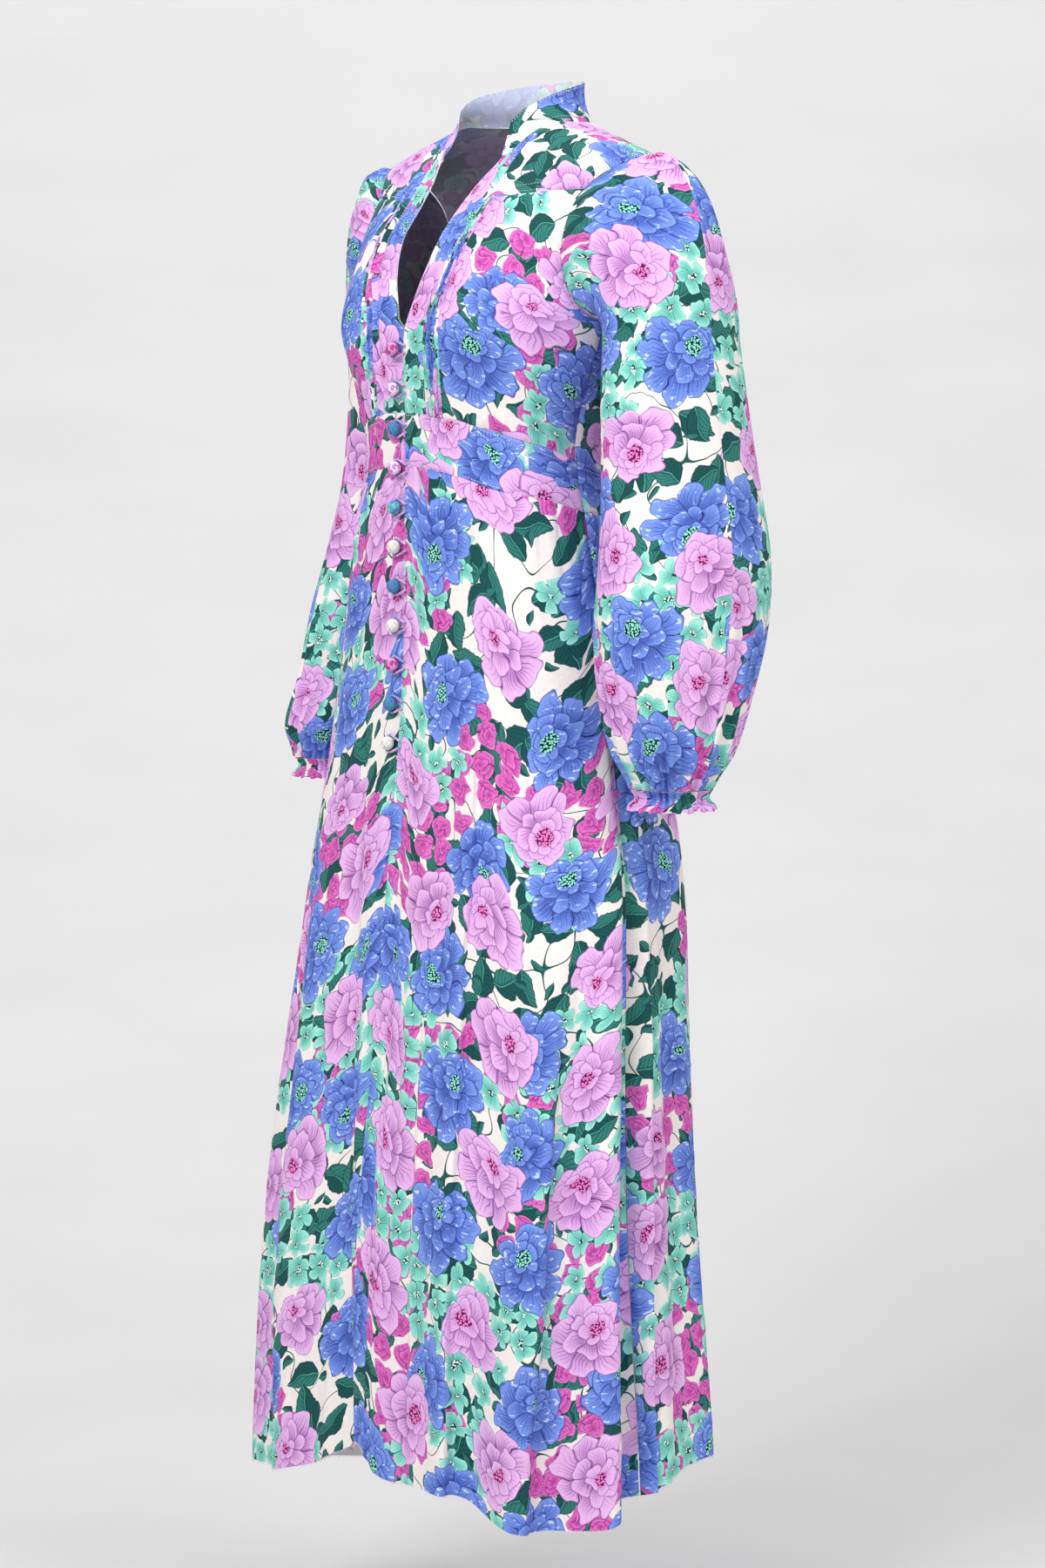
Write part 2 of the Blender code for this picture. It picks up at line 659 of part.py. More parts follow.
def bodice_front(collection, name, side):
    surface = bodice_front_surface()
    stops = pintuck_columns()
    count = len(stops) - 1

    def stretched(share):
        place = share * count
        index = min(int(place + 0.0001), count - 1)
        return mix(stops[index], stops[index + 1], place - index)

    def raised(across, _up):
        place = across if side > 0 else 1.0 - across
        index = round(place * count)
        crest = index >= 2 and index <= 2 * PINTUCK_COUNT and index % 2 == 0
        return PINTUCK_RISE if crest else 0.0

    def left_surface(across, up):
        return surface(stretched(across), up)

    shape = left_surface if side > 0 else mirrored(left_surface)
    rows = SIDE_SEAM_ROWS + armhole_rows(ARMHOLE_YOKE_FRONT)
    return cloth_piece(collection, name, count, rows, shape, GROUND, raised=raised)


def bodice_back_surface():
    underarm = armhole_pair(180.0)
    side_share = SIDE_SEAM_ROWS / (SIDE_SEAM_ROWS + armhole_rows(ARMHOLE_YOKE_BACK))

    def edge_pair(up):
        low = (90.0 + SIDE_SEAM_TURN, waist_seam(90.0, UPPER_SEAM) + SEAM)
        if up < side_share:
            return mix_pair(low, (underarm[0] + SIDE_SEAM_TURN, underarm[1]), up / side_share)
        return bodice_armhole_pair(ARMHOLE_YOKE_BACK, (up - side_share) / (1.0 - side_share))

    def bottom(across):
        angle = mix(90.0 + SIDE_SEAM_TURN, 270.0 - SIDE_SEAM_TURN, across)
        return (angle, waist_seam(angle, UPPER_SEAM) + SEAM)

    def top(across):
        return back_yoke_pair(across, -YOKE_SEAM)

    def right(up):
        angle, height = edge_pair(up)
        return (360.0 - angle, height)

    region = patch(bottom, top, edge_pair, right)

    def surface(across, up):
        return body_point(*region(across, up))
    return surface


def back_yoke_pair(across, shift):
    """Yoke seam across the back, from the left armhole to the right one."""
    end = armhole_pair(ARMHOLE_YOKE_BACK)
    angle = mix(end[0], 360.0 - end[0], across)
    middle = 1.0 - abs(2.0 * across - 1.0)
    return (angle, mix(end[1], YOKE_BACK_HEIGHT, ease(middle * 1.6)) + shift)


# ---------------------------------------------------------------- yoke and collar
def yoke_surface():
    """A horseshoe from the left front, round the back, to the right front."""
    front_share = YOKE_FRONT_COLUMNS / YOKE_COLUMNS
    arm_share = YOKE_ARM_COLUMNS / YOKE_COLUMNS
    yoke_share = band_outer_share(YOKE_FRONT_HEIGHT)
    seam_stops = [0.0] + pintuck_columns()[-YOKE_FRONT_COLUMNS:]

    def lower_left(share):
        if share < front_share:
            place = share / front_share * YOKE_FRONT_COLUMNS
            index = min(int(place + 0.0001), YOKE_FRONT_COLUMNS - 1)
            return front_top_pair(mix(seam_stops[index], seam_stops[index + 1], place - index))
        if share < front_share + arm_share:
            turn = (share - front_share) / arm_share
            place = mix(ARMHOLE_YOKE_FRONT, ARMHOLE_YOKE_BACK - 360.0, turn)
            return armhole_pair(place % 360.0)
        across = (share - front_share - arm_share) / (1.0 - 2.0 * (front_share + arm_share))
        return back_yoke_pair(across, 0.0)

    def bottom(across):
        if across <= 0.5:
            return lower_left(across)
        angle, height = lower_left(1.0 - across)
        return (360.0 - angle, height)

    def top(across):
        side = min(across, 1.0 - across)
        start = BAND_TOP + 2.0 * seam_step(0.0)
        if side < front_share:
            angle = mix(start, YOKE_NECK_FRONT, side / front_share)
        elif side < front_share + arm_share:
            angle = mix(YOKE_NECK_FRONT, YOKE_NECK_BACK, (side - front_share) / arm_share)
        else:
            back = (side - front_share - arm_share) / (0.5 - front_share - arm_share)
            angle = mix(YOKE_NECK_BACK, 180.0, back)
        if across > 0.5:
            angle = 360.0 - angle
        return (angle, neckline_height(angle) - SEAM)

    def left(up):
        angle, height = band_outer_pair(mix(yoke_share, 1.0, up))
        angle += 2.0 * seam_step(height)
        turn = up ** SEAM_END_BEND
        return (mix(angle, top(0.0)[0], turn), mix(height, top(0.0)[1], turn))

    def right(up):
        angle, height = left(up)
        return (360.0 - angle, height)

    region = patch(bottom, top, left, right)

    def surface(across, up):
        return body_point(*region(across, up))
    return surface


def collar_surface(across, up):
    """Stand collar from the left front edge, round the back, to the right front edge."""
    angle = mix(COLLAR_FRONT, 360.0 - COLLAR_FRONT, across)
    from_front = min(angle, 360.0 - angle)
    base = body_point(angle, neckline_height(angle))
    top_radius = table_value(COLLAR, from_front, 2)
    top_height = table_value(COLLAR, from_front, 1)
    lean = COLLAR_LEAN * ease((COLLAR_LEAN_END - from_front) / COLLAR_LEAN_RUN)
    top_angle = math.radians(angle + (lean if angle < 180.0 else -lean))
    centre = table_value(BODY, 0.0, CENTRE)
    top = Vector((top_radius * math.sin(top_angle), centre - top_radius * math.cos(top_angle),
                  top_height))
    base.z += COLLAR_GAP
    point = base.lerp(top, up)
    outward = Vector((math.sin(top_angle), -math.cos(top_angle), 0.0))
    return point - outward * COLLAR_HOLLOW * math.sin(math.pi * up)


# ---------------------------------------------------------------- waistband and skirt
def band_surface(ends, drop=no_drop):
    """Waistband between two ends, each an angle at a height."""
    def surface(across, up):
        angle = mix(ends[0](BAND_MIDDLE), ends[1](BAND_MIDDLE), across)
        height = mix(waist_seam(angle, LOWER_SEAM) + SEAM / 2.0,
                     waist_seam(angle, UPPER_SEAM) - SEAM / 2.0, up)
        angle = mix(ends[0](height), ends[1](height), across)
        point = body_point(angle, height)
        return body_point(angle, height, -drop(point.x, height))
    return surface


def skirt_surface(ends, drop=no_drop):
    """Skirt panel between two ends, each an angle at a height, from the hem up."""
    def surface(across, up):
        seam_angle = mix(ends[0](SKIRT_TOP), ends[1](SKIRT_TOP), across)
        seam = waist_seam(seam_angle, LOWER_SEAM) - SEAM / 2.0
        hem_angle = mix(ends[0](HEM_FRONT), ends[1](HEM_FRONT), across)
        hem = table_value(HEM, fold_angle(hem_angle), 1)
        height = mix(seam, hem, (1.0 - up) ** SKIRT_ROW_POWER)
        angle = mix(ends[0](height), ends[1](height), across)
        point = body_point(angle, height)
        return body_point(angle, height, -drop(point.x, height))
    return surface


def edge_swing(height):
    """Below the last button the open front edges swing towards the wearer's right."""
    return EDGE_SWING * ease((LAST_BUTTON - height) / SWING_RUN)


def left_front_end(height):
    return angle_at_side(LEFT_EDGE - edge_swing(height), height)


def right_front_end(height):
    return angle_at_side(RIGHT_EDGE - edge_swing(height), height)


def left_side_front(_height):
    return 90.0 - SIDE_SEAM_TURN


def left_side_back(_height):
    return 90.0 + SIDE_SEAM_TURN


def right_side_back(_height):
    return 270.0 - SIDE_SEAM_TURN


def right_side_front(_height):
    return -90.0 + SIDE_SEAM_TURN


def swung_drop(side, height):
    """The right front sinks where the left front lies over it."""
    return LAP_DROP * ease((side + edge_swing(height) + LAP_REACH) / LAP_SOFTNESS)


# ---------------------------------------------------------------- sleeves
def sleeve_ring(table, place, height):
    """A place on the free-hanging sleeve: 0 is its outer side, 90 its front."""
    radians = math.radians(place)
    half_x = table_value(table, height, HALF_X)
    half_y = table_value(table, height, HALF_Y)
    return Vector((table_value(table, height, CENTRE_X) + half_x * math.cos(radians),
                   table_value(table, height, CENTRE_Y) - half_y * math.sin(radians),
                   height))


def gather_wave(place):
    return math.cos(math.radians(place * GATHERS))


def cap_point(table, place, share):
    """The gathered cap: a soft arc from the armhole round to the hanging sleeve."""
    start = body_point(*armhole_pair(place, inset=SLEEVE_INSET), lift=SLEEVE_LIFT)
    end = sleeve_ring(table, place, SLEEVE_TURN_HEIGHT)
    reach = (end - start).length
    upward = CAP_LIFT * max(math.cos(math.radians(place)), 0.0) ** 2
    leave = start + Vector((1.0, 0.0, upward)) * reach * CAP_REACH
    arrive = end + Vector((0.0, 0.0, 1.0)) * reach * CAP_REACH
    rest = 1.0 - share
    point = (start * rest ** 3 + leave * 3.0 * rest ** 2 * share
             + arrive * 3.0 * rest * share ** 2 + end * share ** 3)
    return point


def sleeve_surface(table):
    def surface(across, up):
        place = (1.0 - across) * 360.0
        down = 1.0 - up
        if down < CAP_SHARE:
            share = down / CAP_SHARE
            point = cap_point(table, place, share)
            high = max(math.cos(math.radians(place)), 0.0)
            swell = CAP_GATHER * high * ease(share * 4.0) * ease((1.0 - share) * 1.6)
            outward = point - Vector(CAP_MIDDLE)
            return point + outward.normalized() * swell * gather_wave(place)
        share = (down - CAP_SHARE) / (1.0 - CAP_SHARE)
        height = mix(SLEEVE_TURN_HEIGHT, SLEEVE_END, share)
        point = sleeve_ring(table, place, height)
        centre = Vector((table_value(table, height, CENTRE_X),
                         table_value(table, height, CENTRE_Y), height))
        depth = SLEEVE_GATHER * ease((SLEEVE_GATHER_START - height) / SLEEVE_GATHER_RUN)
        return point + (point - centre).normalized() * depth * gather_wave(place)
    return surface


def cuff_surface(table):
    def surface(across, up):
        place = (1.0 - across) * 360.0
        height = SLEEVE_END - CUFF_TOP_GAP - (1.0 - up) * CUFF_DEPTH
        point = sleeve_ring(table, place, SLEEVE_END)
        centre = Vector((table_value(table, SLEEVE_END, CENTRE_X),
                         table_value(table, SLEEVE_END, CENTRE_Y), SLEEVE_END))
        outward = point - centre
        drawn = math.sin(math.pi * min((1.0 - up) * CUFF_PINCH_RUN, 1.0))
        waist = 1.0 - CUFF_PINCH * drawn
        flare = 1.0 + CUFF_FLARE * ease((CUFF_FLARE_START - up) / CUFF_FLARE_START)
        wave = CUFF_GATHER * gather_wave(place)
        spot = centre + outward * waist * flare + outward.normalized() * wave
        spot.z = height
        return spot
    return surface


# ---------------------------------------------------------------- buttons and loops
def button_height(index):
    return mix(FIRST_BUTTON, LAST_BUTTON, index / (BUTTON_COUNT - 1))


def outward_at(angle, height):
    """Outward direction of the dress at a place."""
    east = body_point(angle + 1.0, height) - body_point(angle - 1.0, height)
    north = body_point(angle, height + 0.01) - body_point(angle, height - 0.01)
    return east.cross(north).normalized()


def add_button(collection, index):
    height = button_height(index)
    angle = angle_at_side(BUTTON_SIDE, height)
    mesh = bmesh.new()
    bmesh.ops.create_uvsphere(mesh, u_segments=9, v_segments=6, radius=BUTTON_RADIUS)
    name = "button_%02d" % (index + 1)
    data = bpy.data.meshes.new(name)
    mesh.to_mesh(data)
    mesh.free()
    data.materials.append(plain_material(name + " cover", BUTTON_COLOURS[index]))
    data.shade_smooth()
    button = bpy.data.objects.new(name, data)
    outward = outward_at(angle, height)
    button.location = body_point(angle, height) + outward * (BUTTON_RADIUS - BUTTON_SINK)
    button.rotation_euler = outward.to_track_quat("Z", "Y").to_euler()
    collection.objects.link(button)


def add_loop(collection, index):
    """A rouleau loop from the edge of the left front round its button."""
    height = button_height(index)
    angle = angle_at_side(BUTTON_SIDE, height)
    outward = outward_at(angle, height)
    up = Vector((0.0, 0.0, 1.0))
    up -= outward * up.dot(outward)
    up.normalize()
    across = up.cross(outward)
    lift = LOOP_LIFT + LOOP_CORD_RADIUS
    centre = body_point(angle, height) + outward * lift
    points = []
    for step in range(LOOP_ARC_POINTS):
        turn = math.radians(mix(LOOP_ARC_START, LOOP_ARC_END, step / (LOOP_ARC_POINTS - 1)))
        sideways = across * LOOP_RADIUS * math.cos(turn)
        points.append(centre + sideways + up * LOOP_RADIUS * math.sin(turn))
    tail = across * (LEFT_EDGE - BUTTON_SIDE + LOOP_HOLD)
    points.insert(0, centre + tail + up * LOOP_HALF_GAPE)
    points.append(centre + tail - up * LOOP_HALF_GAPE)
    name = "loop_%02d" % (index + 1)
    curve = bpy.data.curves.new(name, "CURVE")
    curve.dimensions = "3D"
    curve.bevel_depth = LOOP_CORD_RADIUS
    curve.bevel_resolution = 1
    curve.use_fill_caps = True
    spline = curve.splines.new("POLY")
    spline.points.add(len(points) - 1)
    for target, point in zip(spline.points, points):
        target.co = (*point, 1.0)
    curve.materials.append(plain_material(name + " cord", PRINT_LILAC))
    collection.objects.link(bpy.data.objects.new(name, curve))


# ---------------------------------------------------------------- the dress
def build_bodice(collection):
    left_band = placket_surface(LEFT_EDGE, no_drop)
    cloth_piece(collection, "placket_left", 3, PLACKET_ROWS, left_band, PRINT_BLUE)
    right_band = placket_surface(-RIGHT_EDGE, lambda side, height: right_lap_drop(-side, height))
    cloth_piece(collection, "placket_right", 5, PLACKET_ROWS, mirrored(right_band), PRINT_BLUE)
    bodice_front(collection, "bodice_front_left", 1.0)
    bodice_front(collection, "bodice_front_right", -1.0)
    back_rows = SIDE_SEAM_ROWS + armhole_rows(ARMHOLE_YOKE_BACK)
    cloth_piece(collection, "bodice_back", YOKE_BACK_COLUMNS, back_rows,
                bodice_back_surface(), GROUND)
    cloth_piece(collection, "yoke", YOKE_COLUMNS, YOKE_ROWS, yoke_surface(), PRINT_AQUA)
    cloth_piece(collection, "collar", 24, 3, collar_surface, PRINT_LILAC)


def build_skirt(collection):
    cloth_piece(collection, "waistband_front_left", 12, 2,
                band_surface((left_front_end, left_side_front)), PRINT_PINK)
    cloth_piece(collection, "waistband_front_right", 12, 2,
                band_surface((right_side_front, right_front_end), swung_drop), PRINT_PINK)
    cloth_piece(collection, "waistband_back", 16, 2,
                band_surface((left_side_back, right_side_back)), PRINT_PINK)
    cloth_piece(collection, "skirt_front_left", 22, 12,
                skirt_surface((left_front_end, left_side_front)), GROUND)
    cloth_piece(collection, "skirt_front_right", 22, 12,
                skirt_surface((right_side_front, right_front_end), swung_drop), GROUND)
    cloth_piece(collection, "skirt_back", 38, 12,
                skirt_surface((left_side_back, right_side_back)), GROUND)


def build_sleeves(collection):
    for side, table in (("left", LEFT_SLEEVE), ("right", RIGHT_SLEEVE)):
        sleeve = sleeve_surface(table)
        cuff = cuff_surface(table)
        if side == "right":
            sleeve = mirrored(sleeve)
            cuff = mirrored(cuff)
        cloth_piece(collection, "sleeve_" + side, SLEEVE_COLUMNS, 11, sleeve, GROUND, closed=True)
        cloth_piece(collection, "cuff_" + side, SLEEVE_COLUMNS, 3, cuff, PRINT_AQUA, closed=True)


def main():
    collection = start_scene()
    build_bodice(collection)
    build_skirt(collection)
    build_sleeves(collection)
    for index in range(BUTTON_COUNT):
        add_button(collection, index)
        add_loop(collection, index)


main()
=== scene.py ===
import math

import bpy
import numpy as np
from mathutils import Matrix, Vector


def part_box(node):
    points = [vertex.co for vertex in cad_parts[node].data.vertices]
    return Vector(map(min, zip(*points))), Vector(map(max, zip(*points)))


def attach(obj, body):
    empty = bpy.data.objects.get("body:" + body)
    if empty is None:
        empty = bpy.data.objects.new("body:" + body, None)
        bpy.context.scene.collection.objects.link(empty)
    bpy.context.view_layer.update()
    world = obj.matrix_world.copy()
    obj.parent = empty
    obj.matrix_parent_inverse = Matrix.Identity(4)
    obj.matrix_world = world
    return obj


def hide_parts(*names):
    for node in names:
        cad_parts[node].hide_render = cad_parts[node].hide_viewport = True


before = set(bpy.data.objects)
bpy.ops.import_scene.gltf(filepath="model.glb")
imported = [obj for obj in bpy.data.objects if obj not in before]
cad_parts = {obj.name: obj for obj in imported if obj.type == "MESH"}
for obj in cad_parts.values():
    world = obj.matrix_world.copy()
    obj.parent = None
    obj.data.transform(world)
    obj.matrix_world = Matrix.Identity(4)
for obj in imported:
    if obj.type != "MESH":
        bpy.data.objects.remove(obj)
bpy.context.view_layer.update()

# ---------------------------------------------------------------- sizes shared with the solids
SEAM = 0.00032
NECK_RADIUS = 0.071
COLLAR_FRONT = 41.0
BAND_TOP = 65.0
YOKE_NECK_FRONT = 80.0
YOKE_NECK_BACK = 104.0
YOKE_FRONT_HEIGHT = -0.074
YOKE_BACK_HEIGHT = -0.088
ARMHOLE_CENTRE = -0.115
ARMHOLE_HALF_HEIGHT = 0.075
ARMHOLE_HALF_DEPTH = 0.055
ARMHOLE_YOKE_FRONT = 50.0
ARMHOLE_YOKE_BACK = 320.0
LEFT_EDGE = 0.003
RIGHT_EDGE = 0.013
EDGE_SWING = 0.012
SIDE_SEAM_TURN = 0.13
LAP_DROP = 0.0026
SLEEVE_INSET = 0.0013
SLEEVE_LIFT = 0.0010
SLEEVE_TURN_HEIGHT = -0.205
SLEEVE_END = -0.622
CAP_REACH = 0.37              # how far the sleeve's cap runs straight before it turns
CAP_LIFT = 0.46               # how steeply its top leaves the armhole
CUFF_TOP_GAP = 0.0010
CUFF_DEPTH = 0.019
YOKE_SEAM = 0.0006
BUTTON_COUNT = 11
BUTTON_SIDE = -0.0062
BUTTON_RADIUS = 0.0066
FIRST_BUTTON = -0.216
LAST_BUTTON = -0.590
LOOP_CORD_RADIUS = 0.0012
LOOP_RADIUS = 0.0081
LOOP_LIFT = 0.0016
PINTUCK_COUNT = 5
PINTUCK_PITCH = 0.0042
FRONT_PANEL_WIDTH = 0.150
PINTUCK_START = 0.002

# height, half width, centre, front, back, roundness of front and of back
BODY = (
    (-1.420, 0.254, -0.036, -0.185, 0.134, 2.9, 2.3),
    (-1.260, 0.249, -0.036, -0.183, 0.129, 2.9, 2.3),
    (-1.060, 0.235, -0.034, -0.176, 0.118, 2.9, 2.3),
    (-0.890, 0.223, -0.028, -0.161, 0.119, 2.8, 2.3),
    (-0.720, 0.208, -0.018, -0.146, 0.126, 2.7, 2.3),
    (-0.600, 0.187, -0.018, -0.134, 0.122, 2.6, 2.3),
    (-0.500, 0.174, -0.019, -0.127, 0.115, 2.4, 2.3),
    (-0.380, 0.150, -0.021, -0.125, 0.096, 2.3, 2.2),
    (-0.340, 0.139, -0.022, -0.124, 0.087, 2.2, 2.2),
    (-0.310, 0.134, -0.022, -0.124, 0.083, 2.2, 2.2),
    (-0.270, 0.139, -0.020, -0.125, 0.087, 2.2, 2.2),
    (-0.235, 0.148, -0.017, -0.126, 0.095, 2.2, 2.2),
    (-0.200, 0.156, -0.012, -0.125, 0.104, 2.2, 2.2),
    (-0.175, 0.160, -0.008, -0.121, 0.110, 2.2, 2.2),
    (-0.145, 0.166, -0.004, -0.115, 0.114, 2.2, 2.2),
    (-0.110, 0.176, 0.000, -0.102, 0.115, 2.2, 2.2),
    (-0.080, 0.184, 0.006, -0.080, 0.112, 2.1, 2.2),
    (-0.055, 0.190, 0.010, -0.060, 0.107, 2.0, 2.1),
    (-0.040, 0.188, 0.011, -0.048, 0.101, 2.0, 2.0),
    (-0.030, 0.168, 0.012, -0.041, 0.097, 2.0, 2.0),
    (-0.020, 0.138, 0.012, -0.034, 0.092, 2.0, 2.0),
    (-0.010, 0.102, 0.013, -0.028, 0.088, 2.0, 2.0),
    (0.000, 0.073, 0.014, -0.022, 0.084, 2.0, 2.0),
    (0.012, 0.056, 0.015, -0.016, 0.078, 2.0, 2.0),
)
HALF_WIDTH, CENTRE, FRONT, BACK, FRONT_POWER, BACK_POWER = range(1, 7)
# height, inner and outer side of the front band
BAND_EDGES = (
    (-0.235, 0.0030, 0.0325),
    (-0.215, 0.0031, 0.0325),
    (-0.200, 0.0040, 0.0335),
    (-0.185, 0.0070, 0.0360),
    (-0.170, 0.0120, 0.0405),
    (-0.145, 0.0205, 0.0485),
    (-0.110, 0.0285, 0.0565),
    (-0.080, 0.0315, 0.0600),
    (-0.050, 0.0380, 0.0625),
    (-0.026, 0.0460, 0.0640),
    (0.010, 0.0480, 0.0645),
)
# angle, height of the upper and of the lower seam
WAISTBAND = (
    (-20.0, -0.278, -0.327),
    (0.0, -0.276, -0.325),
    (33.0, -0.281, -0.333),
    (55.0, -0.294, -0.347),
    (75.0, -0.307, -0.357),
    (90.0, -0.320, -0.368),
    (110.0, -0.332, -0.376),
    (180.0, -0.338, -0.382),
    (200.0, -0.337, -0.381),
)
UPPER_SEAM, LOWER_SEAM = 1, 2
# angle, height
HEM = (
    (-180.0, -1.320),
    (-105.0, -1.345),
    (-60.0, -1.318),
    (-40.0, -1.306),
    (-20.0, -1.282),
    (0.0, -1.258),
    (16.0, -1.284),
    (35.0, -1.284),
    (48.0, -1.286),
    (60.0, -1.309),
    (76.0, -1.307),
    (90.0, -1.285),
    (107.0, -1.264),
    (135.0, -1.268),
    (180.0, -1.320),
)
# angle from the front, height and radius of the top edge
COLLAR = (
    (41.0, 0.000, 0.0580),
    (60.0, 0.013, 0.0600),
    (90.0, 0.028, 0.0630),
    (135.0, 0.039, 0.0640),
    (180.0, 0.043, 0.0640),
)
# angle high up, angle at the hem, height at which it begins, half width, depth at the hem
SKIRT_FOLDS = (
    (22.0, 15.0, -0.42, 8.0, 0.008),
    (45.0, 42.0, -0.36, 6.0, 0.013),
    (54.0, 51.0, -0.60, 5.0, -0.012),
    (70.0, 60.0, -0.60, 5.5, 0.014),
    (77.0, 69.0, -0.70, 4.5, -0.010),
    (86.0, 79.0, -0.40, 5.0, 0.016),
    (92.0, 86.0, -0.45, 4.0, -0.018),
    (98.0, 94.0, -0.50, 5.0, 0.010),
    (116.0, 114.0, -0.42, 8.0, 0.017),
    (129.0, 128.0, -0.60, 6.0, -0.012),
    (142.0, 143.0, -0.45, 7.0, 0.010),
    (157.0, 158.0, -0.60, 6.0, -0.012),
    (172.0, 171.0, -0.42, 8.0, 0.016),
    (187.0, 189.0, -0.60, 6.0, -0.011),
    (202.0, 203.0, -0.50, 7.0, 0.015),
    (217.0, 218.0, -0.60, 6.0, -0.013),
    (232.0, 233.0, -0.42, 8.0, 0.016),
    (248.0, 250.0, -0.60, 6.0, -0.012),
    (262.0, 265.0, -0.45, 6.0, 0.015),
    (276.0, 279.0, -0.60, 5.0, -0.010),
    (290.0, 293.0, -0.50, 6.5, 0.014),
    (303.0, 307.0, -0.60, 5.0, -0.010),
    (318.0, 321.0, -0.42, 7.0, 0.013),
    (334.0, 351.0, -0.50, 6.0, -0.014),
)
# angle, height at the seam, height at which it has died away, half width, depth
SHORT_TUCKS = (
    (33.0, -0.335, -0.430, 2.2, 0.0035),
    (40.0, -0.340, -0.480, 2.2, 0.0040),
    (47.0, -0.344, -0.520, 2.4, 0.0045),
    (135.0, -0.380, -0.500, 2.6, 0.0040),
    (147.0, -0.381, -0.520, 2.6, 0.0045),
    (213.0, -0.381, -0.520, 2.6, 0.0045),
    (225.0, -0.380, -0.500, 2.6, 0.0040),
    (313.0, -0.344, -0.520, 2.4, 0.0045),
    (320.0, -0.340, -0.480, 2.2, 0.0040),
    (327.0, -0.335, -0.430, 2.2, 0.0035),
    (50.0, -0.292, -0.225, 2.6, 0.0035),
    (57.0, -0.296, -0.230, 2.6, 0.0040),
    (303.0, -0.296, -0.230, 2.6, 0.0040),
    (310.0, -0.292, -0.225, 2.6, 0.0035),
)
# height, centre x, centre y, half width, half depth
LEFT_SLEEVE = (
    (-0.660, 0.2520, -0.0080, 0.0330, 0.0330),
    (-0.622, 0.2520, -0.0020, 0.0350, 0.0365),
    (-0.589, 0.2510, 0.0010, 0.0520, 0.0560),
    (-0.540, 0.2490, 0.0050, 0.0630, 0.0720),
    (-0.475, 0.2460, 0.0140, 0.0680, 0.0860),
    (-0.409, 0.2420, 0.0215, 0.0680, 0.0860),
    (-0.344, 0.2350, 0.0225, 0.0640, 0.0800),
    (-0.254, 0.2260, 0.0205, 0.0605, 0.0720),
    (-0.205, 0.2210, 0.0210, 0.0580, 0.0670),
    (-0.163, 0.2160, 0.0230, 0.0570, 0.0660),
)
RIGHT_SLEEVE = (
    (-0.660, 0.2520, -0.0310, 0.0330, 0.0330),
    (-0.622, 0.2520, -0.0240, 0.0350, 0.0365),
    (-0.589, 0.2500, -0.0110, 0.0520, 0.0590),
    (-0.540, 0.2450, 0.0160, 0.0620, 0.0740),
    (-0.475, 0.2380, 0.0340, 0.0670, 0.0820),
    (-0.409, 0.2320, 0.0470, 0.0660, 0.0780),
    (-0.344, 0.2240, 0.0530, 0.0630, 0.0720),
    (-0.254, 0.2170, 0.0490, 0.0590, 0.0650),
    (-0.205, 0.2150, 0.0420, 0.0570, 0.0630),
    (-0.163, 0.2110, 0.0370, 0.0560, 0.0620),
)
CENTRE_X, CENTRE_Y, HALF_X, HALF_Y = range(1, 5)
BUST_SIDE, BUST_HEIGHT = 0.092, -0.188
BUST_SPREAD_SIDE, BUST_SPREAD_HEIGHT = 0.050, 0.055
BUST_FULLNESS = 0.017

# ---------------------------------------------------------------- looks only
SHEET_THICKNESS = 0.0007
TUCK_TAKES = 0.0230           # cloth that one pintuck hides
TUCK_SHOWS = 0.0034           # height at which a pintuck stands up
CAMERA_AZIMUTH = 52.0
CAMERA_DISTANCE = 4.6
CAMERA_HEIGHT = -0.242
CAMERA_PITCH = 4.886
CAMERA_TURN = 0.19            # the camera looks this much past the dress's axis, in degrees
FOCAL = 109.3
FLOOR_HEIGHT = -1.50
SEAM_LET_OUT = 0.0004         # a sewn edge runs this far on, to meet its neighbour
FRAY_PITCH = 0.0011           # from one loose thread of the hem to the next
GRIDS = {}                    # the points of each finished sheet, by node

# folds whose cloth laps over: angle high up, angle at the hem, first and last height,
# width of the lapped side in degrees, depth (the sign says which side stands up)
LAPPED_FOLDS = (
    (88.0, 81.0, -0.52, -1.42, 7.0, 0.0100),
    (71.0, 62.0, -0.78, -1.42, 6.0, 0.0065),
    (97.0, 92.0, -0.60, -1.42, 5.0, 0.0060),
    (46.0, 43.5, -0.37, -1.42, 5.0, 0.0055),
    (8.0, 6.0, -0.50, -1.42, 4.0, -0.0025),
    (30.0, 27.0, -0.70, -1.42, 6.0, -0.0018),
    (150.0, 151.0, -0.55, -1.42, 6.0, 0.0035),
    (196.0, 197.0, -0.60, -1.42, 6.0, -0.0035),
    (240.0, 241.0, -0.55, -1.42, 6.0, 0.0035),
    (284.0, 286.0, -0.60, -1.42, 6.0, -0.0030),
    (325.0, 330.0, -0.70, -1.42, 6.0, 0.0022),
)


